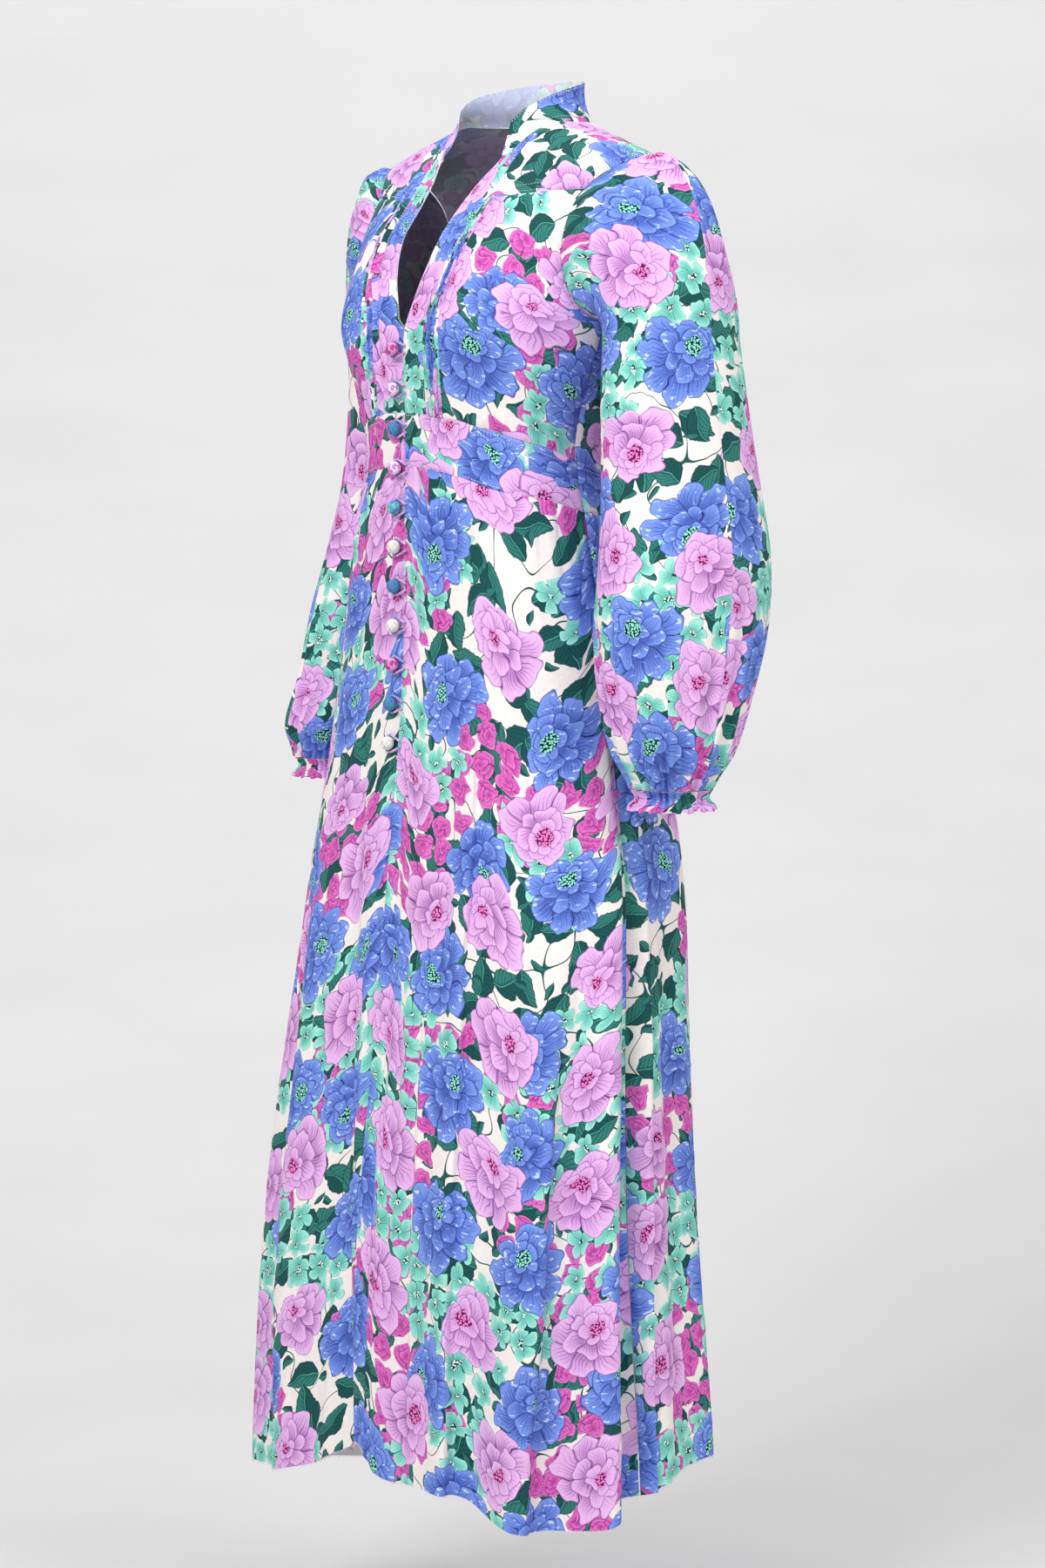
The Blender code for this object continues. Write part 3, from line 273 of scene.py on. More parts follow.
# ---------------------------------------------------------------- numbers on arrays
def curve(rows, key, column):
    table = np.array(rows, dtype=float)
    x = table[:, 0]
    y = table[:, column]
    slope = np.empty_like(y)
    slope[1:-1] = (y[2:] - y[:-2]) / (x[2:] - x[:-2])
    slope[0] = (y[1] - y[0]) / (x[1] - x[0])
    slope[-1] = (y[-1] - y[-2]) / (x[-1] - x[-2])
    key = np.clip(key, x[0], x[-1])
    i = np.clip(np.searchsorted(x, key, side="right") - 1, 0, len(x) - 2)
    span = x[i + 1] - x[i]
    t = (key - x[i]) / span
    return ((2 * t ** 3 - 3 * t ** 2 + 1) * y[i] + (t ** 3 - 2 * t ** 2 + t) * span * slope[i]
            + (3 * t ** 2 - 2 * t ** 3) * y[i + 1] + (t ** 3 - t ** 2) * span * slope[i + 1])


def ease(value):
    value = np.clip(value, 0.0, 1.0)
    return value * value * (3.0 - 2.0 * value)


def mix(start, end, share):
    return start + (end - start) * share


def fold_angle(angle):
    return (angle + 180.0) % 360.0 - 180.0


def angle_between(angle, other):
    return np.abs(fold_angle(angle - other))


def noise(x, y, seed):
    """Smooth value noise from -1 to 1."""
    ix, iy = np.floor(x), np.floor(y)
    fx, fy = x - ix, y - iy
    fx = fx * fx * (3.0 - 2.0 * fx)
    fy = fy * fy * (3.0 - 2.0 * fy)

    def corner(dx, dy):
        value = np.sin((ix + dx) * 127.1 + (iy + dy) * 311.7 + seed * 74.7) * 43758.5453
        return value - np.floor(value)

    low = mix(corner(0, 0), corner(1, 0), fx)
    high = mix(corner(0, 1), corner(1, 1), fx)
    return mix(low, high, fy) * 2.0 - 1.0


def ridges(x, y, seed):
    """Thin creases: noise with a sharp crest, about 0 on average."""
    return 0.5 - np.abs(noise(x, y, seed)) - 0.5 * np.abs(noise(x * 2.1, y * 2.1, seed + 5))


# ---------------------------------------------------------------- the body surface
def half_section(front, height, centre):
    """Depth and roundness of the body's section, before its centre or behind it."""
    depth = np.where(front, centre - curve(BODY, height, FRONT), curve(BODY, height, BACK) - centre)
    power = np.where(front, curve(BODY, height, FRONT_POWER), curve(BODY, height, BACK_POWER))
    return depth, power


def section_radius(angle, height):
    radians = np.radians(angle)
    centre = curve(BODY, height, CENTRE)
    depth, power = half_section(np.cos(radians) > 0.0, height, centre)
    sideways = np.abs(np.sin(radians)) / curve(BODY, height, HALF_WIDTH)
    forward = np.abs(np.cos(radians)) / depth
    return (sideways ** power + forward ** power) ** (-1.0 / power)


def bust_rise(angle, height, radius):
    side = radius * np.abs(np.sin(np.radians(angle)))
    rise = (BUST_FULLNESS * np.exp(-((side - BUST_SIDE) / BUST_SPREAD_SIDE) ** 2)
            * np.exp(-((height - BUST_HEIGHT) / BUST_SPREAD_HEIGHT) ** 2))
    return np.where(angle_between(angle, 0.0) > 90.0, 0.0, rise)


def fold_rise(angle, height):
    rise = np.zeros(np.broadcast(angle, height).shape)
    for high_angle, hem_angle, begin, half_width, depth in SKIRT_FOLDS:
        share = np.maximum((begin - height) / (begin + 1.30), 0.0)
        away = angle_between(angle, mix(high_angle, hem_angle, share)) / half_width
        rise = rise + depth * ease(share * 1.15) * np.exp(-away * away)
    for line, seam, end, half_width, depth in SHORT_TUCKS:
        share = (height - seam) / (end - seam)
        inside = (share > 0.0) & (share < 1.0)
        away = angle_between(angle, line) / half_width
        swell = depth * ease(share * 5.0) * (1.0 - ease(share)) * np.exp(-away * away)
        rise = rise + np.where(inside, swell, 0.0)
    return rise


def body(angle, height, lift=0.0):
    angle, height = np.broadcast_arrays(np.asarray(angle, float), np.asarray(height, float))
    radians = np.radians(angle)
    radius = section_radius(angle, height)
    radius = radius + bust_rise(angle, height, radius) + fold_rise(angle, height) + lift
    return np.stack((radius * np.sin(radians),
                     curve(BODY, height, CENTRE) - radius * np.cos(radians), height), axis=-1)


def bisect(test, low, high, shape):
    """Arrays of the place where test turns from true to false."""
    low = np.full(shape, low)
    high = np.full(shape, high)
    for _ in range(36):
        middle = (low + high) / 2.0
        keep = test(middle)
        low = np.where(keep, middle, low)
        high = np.where(keep, high, middle)
    return (low + high) / 2.0


def angle_at_side(side, height):
    side, height = np.broadcast_arrays(np.asarray(side, float), np.asarray(height, float))
    return bisect(lambda a: section_radius(a, height) * np.sin(np.radians(a)) < side,
                  -89.0, 89.0, height.shape)


def neckline_height(angle):
    angle = np.asarray(angle, float)
    return bisect(lambda h: section_radius(angle, h) > NECK_RADIUS, -0.060, 0.008, angle.shape)


def armhole_pair(place, inset=0.0):
    radians = np.radians(place)
    height = ARMHOLE_CENTRE + (ARMHOLE_HALF_HEIGHT - inset) * np.cos(radians)
    forward = (ARMHOLE_HALF_DEPTH - inset) * np.sin(radians)
    centre = curve(BODY, height, CENTRE)
    depth, power = half_section(forward > 0.0, height, centre)
    share = np.minimum(np.abs(forward) / depth, 1.0)
    side = curve(BODY, height, HALF_WIDTH) * (1.0 - share ** power) ** (1.0 / power)
    return 90.0 - np.degrees(np.arctan2(forward, side)), height


def bodice_armhole_pair(end, share):
    angle, height = armhole_pair(mix(180.0, end, share))
    return angle, height - YOKE_SEAM * share ** 8


def waist_seam(angle, column):
    return curve(WAISTBAND, np.abs(fold_angle(angle)), column)


# ---------------------------------------------------------------- regions of the bodice
def patch(bottom, top, left, right):
    corners = [np.array(pair, float) for pair in
               (bottom(np.array(0.0)), bottom(np.array(1.0)), top(np.array(0.0)), top(np.array(1.0)))]

    def place(across, up):
        result = []
        low, high, start, end = bottom(across), top(across), left(up), right(up)
        for part in (0, 1):
            ruled = mix(low[part], high[part], up) + mix(start[part], end[part], across)
            under = mix(corners[0][part], corners[1][part], across)
            over = mix(corners[2][part], corners[3][part], across)
            result.append(ruled - mix(under, over, up))
        return result
    return place


def band_inner_angle(height, edge):
    opening = curve(BAND_EDGES, height, 1)
    side = np.maximum(opening, edge)
    if edge < 0.0:
        side = mix(opening, edge, ease((-0.185 - height) / 0.025))
    return angle_at_side(side, height)


BAND_LOW = float(waist_seam(14.0, UPPER_SEAM)) + SEAM
BAND_HIGH = float(neckline_height(BAND_TOP)) - SEAM


def band_outer_pair(up):
    height = mix(BAND_LOW, BAND_HIGH, up)
    angle = angle_at_side(curve(BAND_EDGES, height, 2), height)
    return mix(angle, BAND_TOP, up ** 40), height


def seam_step(height):
    return np.degrees(SEAM / section_radius(20.0, height))


YOKE_SHARE = (YOKE_FRONT_HEIGHT - BAND_LOW) / (BAND_HIGH - BAND_LOW)


def placket_surface(edge, drop):
    inner_top = float(neckline_height(COLLAR_FRONT)) - SEAM
    low_share = 10 / 14

    def rise(up):
        above = mix(YOKE_SHARE, 1.0, (up - low_share) / (1.0 - low_share))
        return np.where(up < low_share, YOKE_SHARE * up / low_share, above)

    def bottom(across):
        angle = mix(angle_at_side(edge, -0.276), band_outer_pair(np.array(0.0))[0], across)
        return angle, waist_seam(angle, UPPER_SEAM) + SEAM

    def top(across):
        angle = mix(COLLAR_FRONT, BAND_TOP, across)
        return angle, neckline_height(angle) - SEAM

    start = float(bottom(np.array(0.0))[1])

    def left(up):
        height = mix(start, inner_top, rise(up))
        return mix(band_inner_angle(height, edge), COLLAR_FRONT, up ** 24), height

    region = patch(bottom, top, left, lambda up: band_outer_pair(rise(up)))

    def surface(across, up):
        angle, height = region(across, up)
        point = body(angle, height)
        return body(angle, height, -drop(point[..., 0], height))
    return surface


def front_top_pair(across):
    angle, height = band_outer_pair(np.array(YOKE_SHARE))
    end = armhole_pair(ARMHOLE_YOKE_FRONT)
    return mix(angle + 2.0 * seam_step(height), end[0], across), mix(height, end[1], across)


def bodice_front_surface():
    underarm = armhole_pair(180.0)
    side_low = (90.0 - SIDE_SEAM_TURN, float(waist_seam(90.0, UPPER_SEAM)) + SEAM)
    side_share = 5 / 18

    def bottom(across):
        start = band_outer_pair(np.array(0.0))[0] + 2.0 * seam_step(-0.28)
        angle = mix(start, side_low[0], across)
        return angle, waist_seam(angle, UPPER_SEAM) + SEAM

    def top(across):
        angle, height = front_top_pair(across)
        return angle, height - YOKE_SEAM

    low_start = float(bottom(np.array(0.0))[1])

    def left(up):
        angle, height = band_outer_pair(up * YOKE_SHARE)
        height = np.where(up == 0.0, low_start, height)
        return angle + 2.0 * seam_step(height), height - YOKE_SEAM * up

    def right(up):
        seam = up / side_share
        upper = bodice_armhole_pair(ARMHOLE_YOKE_FRONT, np.clip((up - side_share) / (1 - side_share), 0, 1))
        below = up < side_share
        return (np.where(below, mix(side_low[0], underarm[0] - SIDE_SEAM_TURN, seam), upper[0]),
                np.where(below, mix(side_low[1], underarm[1], seam), upper[1]))

    region = patch(bottom, top, left, right)
    return lambda across, up: body(*region(across, up))


def back_yoke_pair(across, shift):
    end = armhole_pair(ARMHOLE_YOKE_BACK)
    middle = 1.0 - np.abs(2.0 * across - 1.0)
    return (mix(end[0], 360.0 - end[0], across),
            mix(end[1], YOKE_BACK_HEIGHT, ease(middle * 1.6)) + shift)


def bodice_back_surface():
    underarm = armhole_pair(180.0)
    side_share = 5 / 19

    def edge_pair(up):
        low = (90.0 + SIDE_SEAM_TURN, float(waist_seam(90.0, UPPER_SEAM)) + SEAM)
        seam = up / side_share
        upper = bodice_armhole_pair(ARMHOLE_YOKE_BACK, np.clip((up - side_share) / (1 - side_share), 0, 1))
        below = up < side_share
        return (np.where(below, mix(low[0], underarm[0] + SIDE_SEAM_TURN, seam), upper[0]),
                np.where(below, mix(low[1], underarm[1], seam), upper[1]))

    def bottom(across):
        angle = mix(90.0 + SIDE_SEAM_TURN, 270.0 - SIDE_SEAM_TURN, across)
        return angle, waist_seam(angle, UPPER_SEAM) + SEAM

    def right(up):
        angle, height = edge_pair(up)
        return 360.0 - angle, height

    region = patch(bottom, lambda across: back_yoke_pair(across, -YOKE_SEAM), edge_pair, right)
    return lambda across, up: body(*region(across, up))


FRONT_SHARE = 8 / 48
ARM_SHARE = 9 / 48
PINTUCK_END = (PINTUCK_START + PINTUCK_COUNT * PINTUCK_PITCH) / FRONT_PANEL_WIDTH


def yoke_surface():
    def lower_left(share):
        place = share / FRONT_SHARE * 8.0
        seam = np.where(place < 1.0, place * PINTUCK_END, mix(PINTUCK_END, 1.0, (place - 1.0) / 7.0))
        front = front_top_pair(seam)
        turn = np.clip((share - FRONT_SHARE) / ARM_SHARE, 0.0, 1.0)
        arm = armhole_pair(mix(ARMHOLE_YOKE_FRONT, ARMHOLE_YOKE_BACK - 360.0, turn))
        across = np.clip((share - FRONT_SHARE - ARM_SHARE) / (1 - 2 * (FRONT_SHARE + ARM_SHARE)), 0, 1)
        back = back_yoke_pair(across, 0.0)
        on_front = share < FRONT_SHARE
        on_arm = share < FRONT_SHARE + ARM_SHARE
        return [np.where(on_front, front[k], np.where(on_arm, arm[k], back[k])) for k in (0, 1)]

    def bottom(across):
        angle, height = lower_left(np.minimum(across, 1.0 - across))
        return np.where(across > 0.5, 360.0 - angle, angle), height

    def top(across):
        side = np.minimum(across, 1.0 - across)
        start = BAND_TOP + 2.0 * float(seam_step(0.0))
        back = (side - FRONT_SHARE - ARM_SHARE) / (0.5 - FRONT_SHARE - ARM_SHARE)
        angle = np.where(side < FRONT_SHARE, mix(start, YOKE_NECK_FRONT, side / FRONT_SHARE),
                         np.where(side < FRONT_SHARE + ARM_SHARE,
                                  mix(YOKE_NECK_FRONT, YOKE_NECK_BACK, (side - FRONT_SHARE) / ARM_SHARE),
                                  mix(YOKE_NECK_BACK, 180.0, back)))
        angle = np.where(across > 0.5, 360.0 - angle, angle)
        return angle, neckline_height(angle) - SEAM

    end_angle, end_height = (float(part) for part in top(np.array(0.0)))

    def left(up):
        angle, height = band_outer_pair(mix(YOKE_SHARE, 1.0, up))
        angle = angle + 2.0 * seam_step(height)
        return mix(angle, end_angle, up ** 8), mix(height, end_height, up ** 8)

    def right(up):
        angle, height = left(up)
        return 360.0 - angle, height

    region = patch(bottom, top, left, right)
    return lambda across, up: body(*region(across, up))


def collar_surface(across, up):
    angle = mix(COLLAR_FRONT, 360.0 - COLLAR_FRONT, across)
    from_front = np.minimum(angle, 360.0 - angle)
    base = body(angle, neckline_height(angle))
    lean = 4.0 * ease((60.0 - from_front) / 20.0)
    top_angle = np.radians(angle + np.where(angle < 180.0, lean, -lean))
    radius = curve(COLLAR, from_front, 2)
    outward = np.stack((np.sin(top_angle), -np.cos(top_angle), 0.0 * angle), axis=-1)
    centre = float(curve(BODY, 0.0, CENTRE))
    top = outward * radius[..., None]
    top[..., 1] += centre
    top[..., 2] = curve(COLLAR, from_front, 1)
    base[..., 2] += 0.0012
    point = mix(base, top, up[..., None])
    return point - outward * (0.0035 * np.sin(math.pi * up))[..., None]


# ---------------------------------------------------------------- waistband and skirt
def edge_swing(height):
    return EDGE_SWING * ease((LAST_BUTTON - height) / 0.60)


ENDS = {
    "left_front": lambda h: angle_at_side(LEFT_EDGE - edge_swing(h), h),
    "right_front": lambda h: angle_at_side(RIGHT_EDGE - edge_swing(h), h),
    "left_side_front": lambda h: 90.0 - SIDE_SEAM_TURN + 0.0 * h,
    "left_side_back": lambda h: 90.0 + SIDE_SEAM_TURN + 0.0 * h,
    "right_side_back": lambda h: 270.0 - SIDE_SEAM_TURN + 0.0 * h,
    "right_side_front": lambda h: -90.0 + SIDE_SEAM_TURN + 0.0 * h,
}


def no_drop(side, height):
    return 0.0


def right_lap_drop(side, height):
    return LAP_DROP * ease((side + 0.012) / 0.010) * ease((-0.185 - height) / 0.02)


def swung_drop(side, height):
    return LAP_DROP * ease((side + edge_swing(height) + 0.012) / 0.010)


def band_surface(start, end, drop=no_drop):
    first, last = ENDS[start], ENDS[end]

    def surface(across, up):
        angle = mix(first(np.array(-0.30)), last(np.array(-0.30)), across)
        height = mix(waist_seam(angle, LOWER_SEAM) + SEAM / 2, waist_seam(angle, UPPER_SEAM) - SEAM / 2, up)
        angle = mix(first(height), last(height), across)
        side = body(angle, height)[..., 0]
        return body(angle, height, -drop(side, height))
    return surface


def skirt_places(start, end, across, up):
    first, last = ENDS[start], ENDS[end]
    seam_angle = mix(first(np.array(-0.35)), last(np.array(-0.35)), across)
    seam = waist_seam(seam_angle, LOWER_SEAM) - SEAM / 2
    hem_angle = mix(first(np.array(-1.26)), last(np.array(-1.26)), across)
    height = mix(seam, curve(HEM, fold_angle(hem_angle), 1), (1.0 - up) ** 1.1)
    return mix(first(height), last(height), across), height


def lapped_rise(angle, height):
    """Folds with one steep side, which read as lapped cloth."""
    rise = np.zeros(angle.shape)
    for high_angle, hem_angle, begin, end, width, depth in LAPPED_FOLDS:
        share = (begin - height) / (begin - end)
        wander = 0.7 * noise(height * 9.0, height * 0.0, high_angle)
        away = fold_angle(angle - mix(high_angle, hem_angle, np.clip(share, 0, 1)) - wander)
        profile = -np.tanh(away / 0.55) * np.exp(-np.abs(away) / width)
        rise += depth * ease(share * 3.0) * profile
    return rise


def drape_rise(angle, height):
    """Small uneven folds and soft crumples of the skirt."""
    low = ease((-0.42 - height) / 0.5)
    wide = noise(angle / 7.5 + 0.6 * noise(height * 3, angle / 30, 3), height * 1.3, 11)
    fine = noise(angle / 3.1 + 0.5 * noise(height * 5, angle / 20, 4), height * 2.2, 12)
    crumple = ridges(angle / 6.0, height * 24.0, 13)
    tucks = noise(angle / 1.9, height * 3.0, 14) * (1.0 - ease((-0.33 - height) / 0.20))
    return low * (0.0058 * wide + 0.0024 * fine) + 0.0007 * crumple + 0.0012 * tucks


def skirt_surface(start, end, drop=no_drop):
    def surface(across, up):
        angle, height = skirt_places(start, end, across, up)
        side = body(angle, height)[..., 0]
        extra = drape_rise(angle, height) + lapped_rise(angle, height)
        front = ease(angle_between(angle, 0.0) / 9.0)
        return body(angle, height, extra * front - drop(side, height))
    return surface


# ---------------------------------------------------------------- sleeves
def sleeve_ring(table, place, height):
    radians = np.radians(place)
    return np.stack((curve(table, height, CENTRE_X) + curve(table, height, HALF_X) * np.cos(radians),
                     curve(table, height, CENTRE_Y) - curve(table, height, HALF_Y) * np.sin(radians),
                     height + 0.0 * radians), axis=-1)


def sleeve_axis(table, height):
    return np.stack((curve(table, height, CENTRE_X), curve(table, height, CENTRE_Y), height), axis=-1)


def unit(vectors):
    return vectors / np.maximum(np.linalg.norm(vectors, axis=-1, keepdims=True), 1e-9)


def cap_point(table, place, share):
    start = body(*armhole_pair(place, inset=SLEEVE_INSET), lift=SLEEVE_LIFT)
    end = sleeve_ring(table, place, np.full(place.shape, SLEEVE_TURN_HEIGHT))
    reach = np.linalg.norm(end - start, axis=-1)[..., None]
    upward = CAP_LIFT * np.maximum(np.cos(np.radians(place)), 0.0) ** 2
    leave = start + np.stack((np.ones_like(upward), 0 * upward, upward), axis=-1) * reach * CAP_REACH
    arrive = end + np.array((0.0, 0.0, 1.0)) * reach * CAP_REACH
    share = share[..., None]
    rest = 1.0 - share
    return (start * rest ** 3 + leave * 3 * rest ** 2 * share
            + arrive * 3 * rest * share ** 2 + end * share ** 3)


def wavy(place, count, seed, uneven=0.35):
    """Gathers round a sleeve: a wave of uneven depth and spacing that closes on itself."""
    radians = np.radians(place)
    shift = uneven * 2.0 * (np.sin(3 * radians + seed) + np.sin(7 * radians + 2.3 * seed))
    height = 0.75 + 0.25 * np.sin(5 * radians + 1.7 * seed)
    return np.cos(count * radians + shift) * height


def sleeve_surface(table, seed):
    cap_share = 0.36

    def surface(across, up):
        place = (1.0 - across) * 360.0
        down = 1.0 - up
        share = np.clip(down / cap_share, 0.0, 1.0)
        cap = cap_point(table, place, share)
        high = np.maximum(np.cos(np.radians(place)), 0.0)
        pleat = wavy(place, 36, seed)
        soft = wavy(place, 14, seed + 2)
        swell = np.sqrt(high) * ease(share * 5.0) * (0.0022 * (1 - ease(share * 1.2)) * pleat
                                                     + 0.0026 * ease((1.0 - share) * 1.6) * soft)
        cap = cap + unit(cap - np.array((0.17, 0.0, -0.15))) * swell[..., None]

        share = np.clip((down - cap_share) / (1.0 - cap_share), 0.0, 1.0)
        height = mix(SLEEVE_TURN_HEIGHT, SLEEVE_END, share)
        ring = sleeve_ring(table, place, height)
        axis = sleeve_axis(table, height)
        low = ease((-0.40 - height) / 0.18)
        near = ease((-0.545 - height) / 0.07)
        ripple = (0.0036 * low * wavy(place, 18, seed)
                  + 0.0024 * near * wavy(place, 36, seed + 1, 0.3)
                  + 0.0022 * low * (1 - near) * noise(place / 24.0, height * 6.0, seed + 8)
                  + 0.0016 * noise(place / 45.0, height * 7.0, seed + 9) * ease((-0.22 - height) / 0.05))
        ring = ring + unit(ring - axis) * ripple[..., None]
        return np.where((down < cap_share)[..., None], cap, ring)
    return surface


def cuff_surface(table, seed):
    def surface(across, up):
        place = (1.0 - across) * 360.0
        height = SLEEVE_END - CUFF_TOP_GAP - (1.0 - up) * CUFF_DEPTH
        end = np.full(place.shape, SLEEVE_END)
        ring = sleeve_ring(table, place, end)
        axis = sleeve_axis(table, end)
        outward = ring - axis
        waist = 1.0 - 0.10 * np.sin(math.pi * np.minimum((1.0 - up) * 1.3, 1.0))
        flare = 1.0 + 0.10 * ease((0.45 - up) / 0.45)
        wave = 0.0018 * wavy(place, 18, seed) + 0.0025 * wavy(place, 36, seed + 1, 0.3)
        spot = axis + outward * (waist * flare)[..., None] + unit(outward) * wave[..., None]
        spot[..., 2] = height + 0.0012 * wavy(place, 18, seed + 3) * (1.0 - up)
        return spot
    return surface


def mirrored(surface):
    return lambda across, up: surface(1.0 - across, up) * np.array((-1.0, 1.0, 1.0))


# ---------------------------------------------------------------- meshes
def along(points):
    """Distance along each row from its middle, and up each column."""
    steps = np.linalg.norm(np.diff(points, axis=1), axis=-1)
    u = np.concatenate((np.zeros((points.shape[0], 1)), np.cumsum(steps, axis=1)), axis=1)
    u = u - u[:, points.shape[1] // 2][:, None]
    steps = np.linalg.norm(np.diff(points, axis=0), axis=-1)
    v = np.concatenate((np.zeros((1, points.shape[1])), np.cumsum(steps, axis=0)), axis=0)
    return u, v


def normals_of(points, closed):
    if closed:
        ring = points[:, :-1]
        sideways = np.roll(ring, -1, axis=1) - np.roll(ring, 1, axis=1)
        sideways = np.concatenate((sideways, sideways[:, :1]), axis=1)
    else:
        sideways = np.gradient(points, axis=1)
    return unit(np.cross(sideways, np.gradient(points, axis=0)))


def add_mesh(name, points, faces, materials, indices=None, uvs=None):
    data = bpy.data.meshes.new(name)
    data.from_pydata(points.tolist(), [], faces)
    for material in materials:
        data.materials.append(material)
    if indices is not None:
        data.polygons.foreach_set("material_index", indices)
    if uvs is not None:
        layer = data.uv_layers.new(name="Cloth")
        layer.data.foreach_set("uv", np.asarray(uvs, dtype=np.float32).ravel())
    data.shade_smooth()
    data.set_sharp_from_angle(angle=math.radians(70.0))
    piece = bpy.data.objects.new(name, data)
    bpy.context.scene.collection.objects.link(piece)
    return piece


def shell(name, points, closed, uv, materials, thickness=SHEET_THICKNESS):
    """A closed thin sheet round a grid of points, with its wrong side inside."""
    rows, columns = points.shape[0] - 1, points.shape[1] - 1
    normal = normals_of(points, closed) * thickness / 2.0
    keep = columns if closed else columns + 1
    outer = (points + normal)[:, :keep].reshape(-1, 3)
    inner = (points - normal)[:, :keep].reshape(-1, 3)
    total = len(outer)
    j, i = np.meshgrid(np.arange(rows), np.arange(columns), indexing="ij")
    j, i = j.ravel(), i.ravel()

    def index(row, column):
        return row * keep + (column % keep if closed else column)

    def loop_uv(row, column):
        return np.stack((uv[0][row, column], uv[1][row, column]), axis=-1)

    square = [(j, i), (j, i + 1), (j + 1, i + 1), (j + 1, i)]
    outside = np.stack([index(a, b) for a, b in square], axis=1)
    inside = outside[:, ::-1] + total
    outside_uv = np.stack([loop_uv(a, b) for a, b in square], axis=1)
    faces = [outside, inside]
    uvs = [outside_uv, outside_uv[:, ::-1]]
    rims = []
    c = np.arange(columns)
    rims.append([(0 * c, c + 1), (0 * c, c)])
    rims.append([(0 * c + rows, c), (0 * c + rows, c + 1)])
    if not closed:
        r = np.arange(rows)
        rims.append([(r, 0 * r), (r + 1, 0 * r)])
        rims.append([(r + 1, 0 * r + columns), (r, 0 * r + columns)])
    for (a, b), (p, q) in rims:
        faces.append(np.stack((index(a, b), index(p, q), index(p, q) + total, index(a, b) + total), axis=1))
        uvs.append(np.stack((loop_uv(a, b), loop_uv(p, q), loop_uv(p, q), loop_uv(a, b)), axis=1))
    indices = np.ones(sum(len(f) for f in faces), dtype=np.int32)
    indices[:len(outside)] = 0
    return add_mesh(name, np.concatenate((outer, inner)), np.concatenate(faces).tolist(), materials,
                    indices, np.concatenate(uvs))


def edge_roll(u, v, closed, sides, depth=0.0012, reach=0.0022):
    """Cloth turns in along a sewn edge."""
    roll = np.zeros(u.shape)
    if "bottom" in sides:
        roll += np.exp(-(v / reach) ** 2)
    if "top" in sides:
        roll += np.exp(-((v[-1:] - v) / reach) ** 2)
    if "left" in sides and not closed:
        roll += np.exp(-((u - u[:, :1]) / reach) ** 2)
    if "right" in sides and not closed:
        roll += np.exp(-((u[:, -1:] - u) / reach) ** 2)
    return -depth * np.minimum(roll, 1.0)


def let_out(points, closed, amounts):
    """Moves a sheet's edges out along the cloth: bottom, top, left, right, in metres."""
    points = points.copy()
    bottom, top, left, right = amounts
    for row, inner, amount in ((0, 1, bottom), (-1, -2, top)):
        points[row] += unit(points[row] - points[inner]) * amount
    if not closed:
        for column, inner, amount in ((0, 1, left), (-1, -2, right)):
            points[:, column] += unit(points[:, column] - points[:, inner]) * amount
    return points


def cloth(node, columns, rows, surface, closed=False, detail=None, sewn="bottom top left right",
          print_at=(0.0, 0.0), stops=None, bottom_turn=SEAM_LET_OUT,
          top_turn=SEAM_LET_OUT, place_print=None):
    """A sheet in the place of a node."""
    line = np.linspace(0.0, 1.0, columns + 1) if stops is None else np.asarray(stops)
    across, up = np.meshgrid(line, np.linspace(0.0, 1.0, rows + 1))
    points = surface(across, up)
    turns = {"bottom": bottom_turn, "top": top_turn, "left": SEAM_LET_OUT, "right": SEAM_LET_OUT}
    points = let_out(points, closed, [turns[side] if side in sewn else 0.0 for side in turns])
    u, v = along(points)
    rise = edge_roll(u, v, closed, sewn)
    if detail:
        rise = rise + detail(across, up, u, v, points)
    points = points + normals_of(points, closed) * rise[..., None]
    GRIDS[node] = points
    flat = place_print(across, up, u, v, points) if place_print else (u, v)
    shifted = (flat[0] + print_at[0], flat[1] + print_at[1])
    piece = shell(node + "_cloth", points, closed, shifted, [PRINT, WRONG_SIDE])
    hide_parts(node)
    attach(piece, "root")
    u, v = along(points)
    width = float((u[:, -1] - u[:, 0]).max())
    length = float(v[-1].max())
    area = float(np.linalg.norm(np.cross(points[1:, 1:] - points[:-1, :-1],
                                         points[1:, :-1] - points[:-1, 1:]), axis=-1).sum() / 2.0)
    area = min(area, width * length)
    return piece


def sampled(node, across, up):
    """Points and outward directions on a finished sheet at grid shares."""
    points = GRIDS[node]
    normal = normals_of(points, False)
    rows, columns = points.shape[0] - 1, points.shape[1] - 1
    y = np.clip(up, 0, 1) * rows
    x = np.clip(across, 0, 1) * columns
    j = np.minimum(y.astype(int), rows - 1)
    i = np.minimum(x.astype(int), columns - 1)
    fy, fx = (y - j)[:, None], (x - i)[:, None]

    def between(grid):
        return mix(mix(grid[j, i], grid[j, i + 1], fx), mix(grid[j + 1, i], grid[j + 1, i + 1], fx), fy)
    return between(points), unit(between(normal))


# ---------------------------------------------------------------- shader arithmetic
class Wire:
    """An output of a node tree that can be used in sums."""

    def __init__(self, tree, socket):
        self.tree = tree
        self.socket = socket

    def __add__(self, other):
        return number(self.tree, "ADD", self, other)

    def __sub__(self, other):
        return number(self.tree, "SUBTRACT", self, other)

    def __mul__(self, other):
        return number(self.tree, "MULTIPLY", self, other)

    def __rsub__(self, other):
        return number(self.tree, "SUBTRACT", other, self)


def feed(tree, socket, value):
    if isinstance(value, Wire):
        tree.links.new(value.socket, socket)
    elif value is not None:
        socket.default_value = value


def number(tree, operation, *values):
    node = tree.nodes.new("ShaderNodeMath")
    node.operation = operation
    for socket, value in zip(node.inputs, values):
        feed(tree, socket, value)
    return Wire(tree, node.outputs[0])


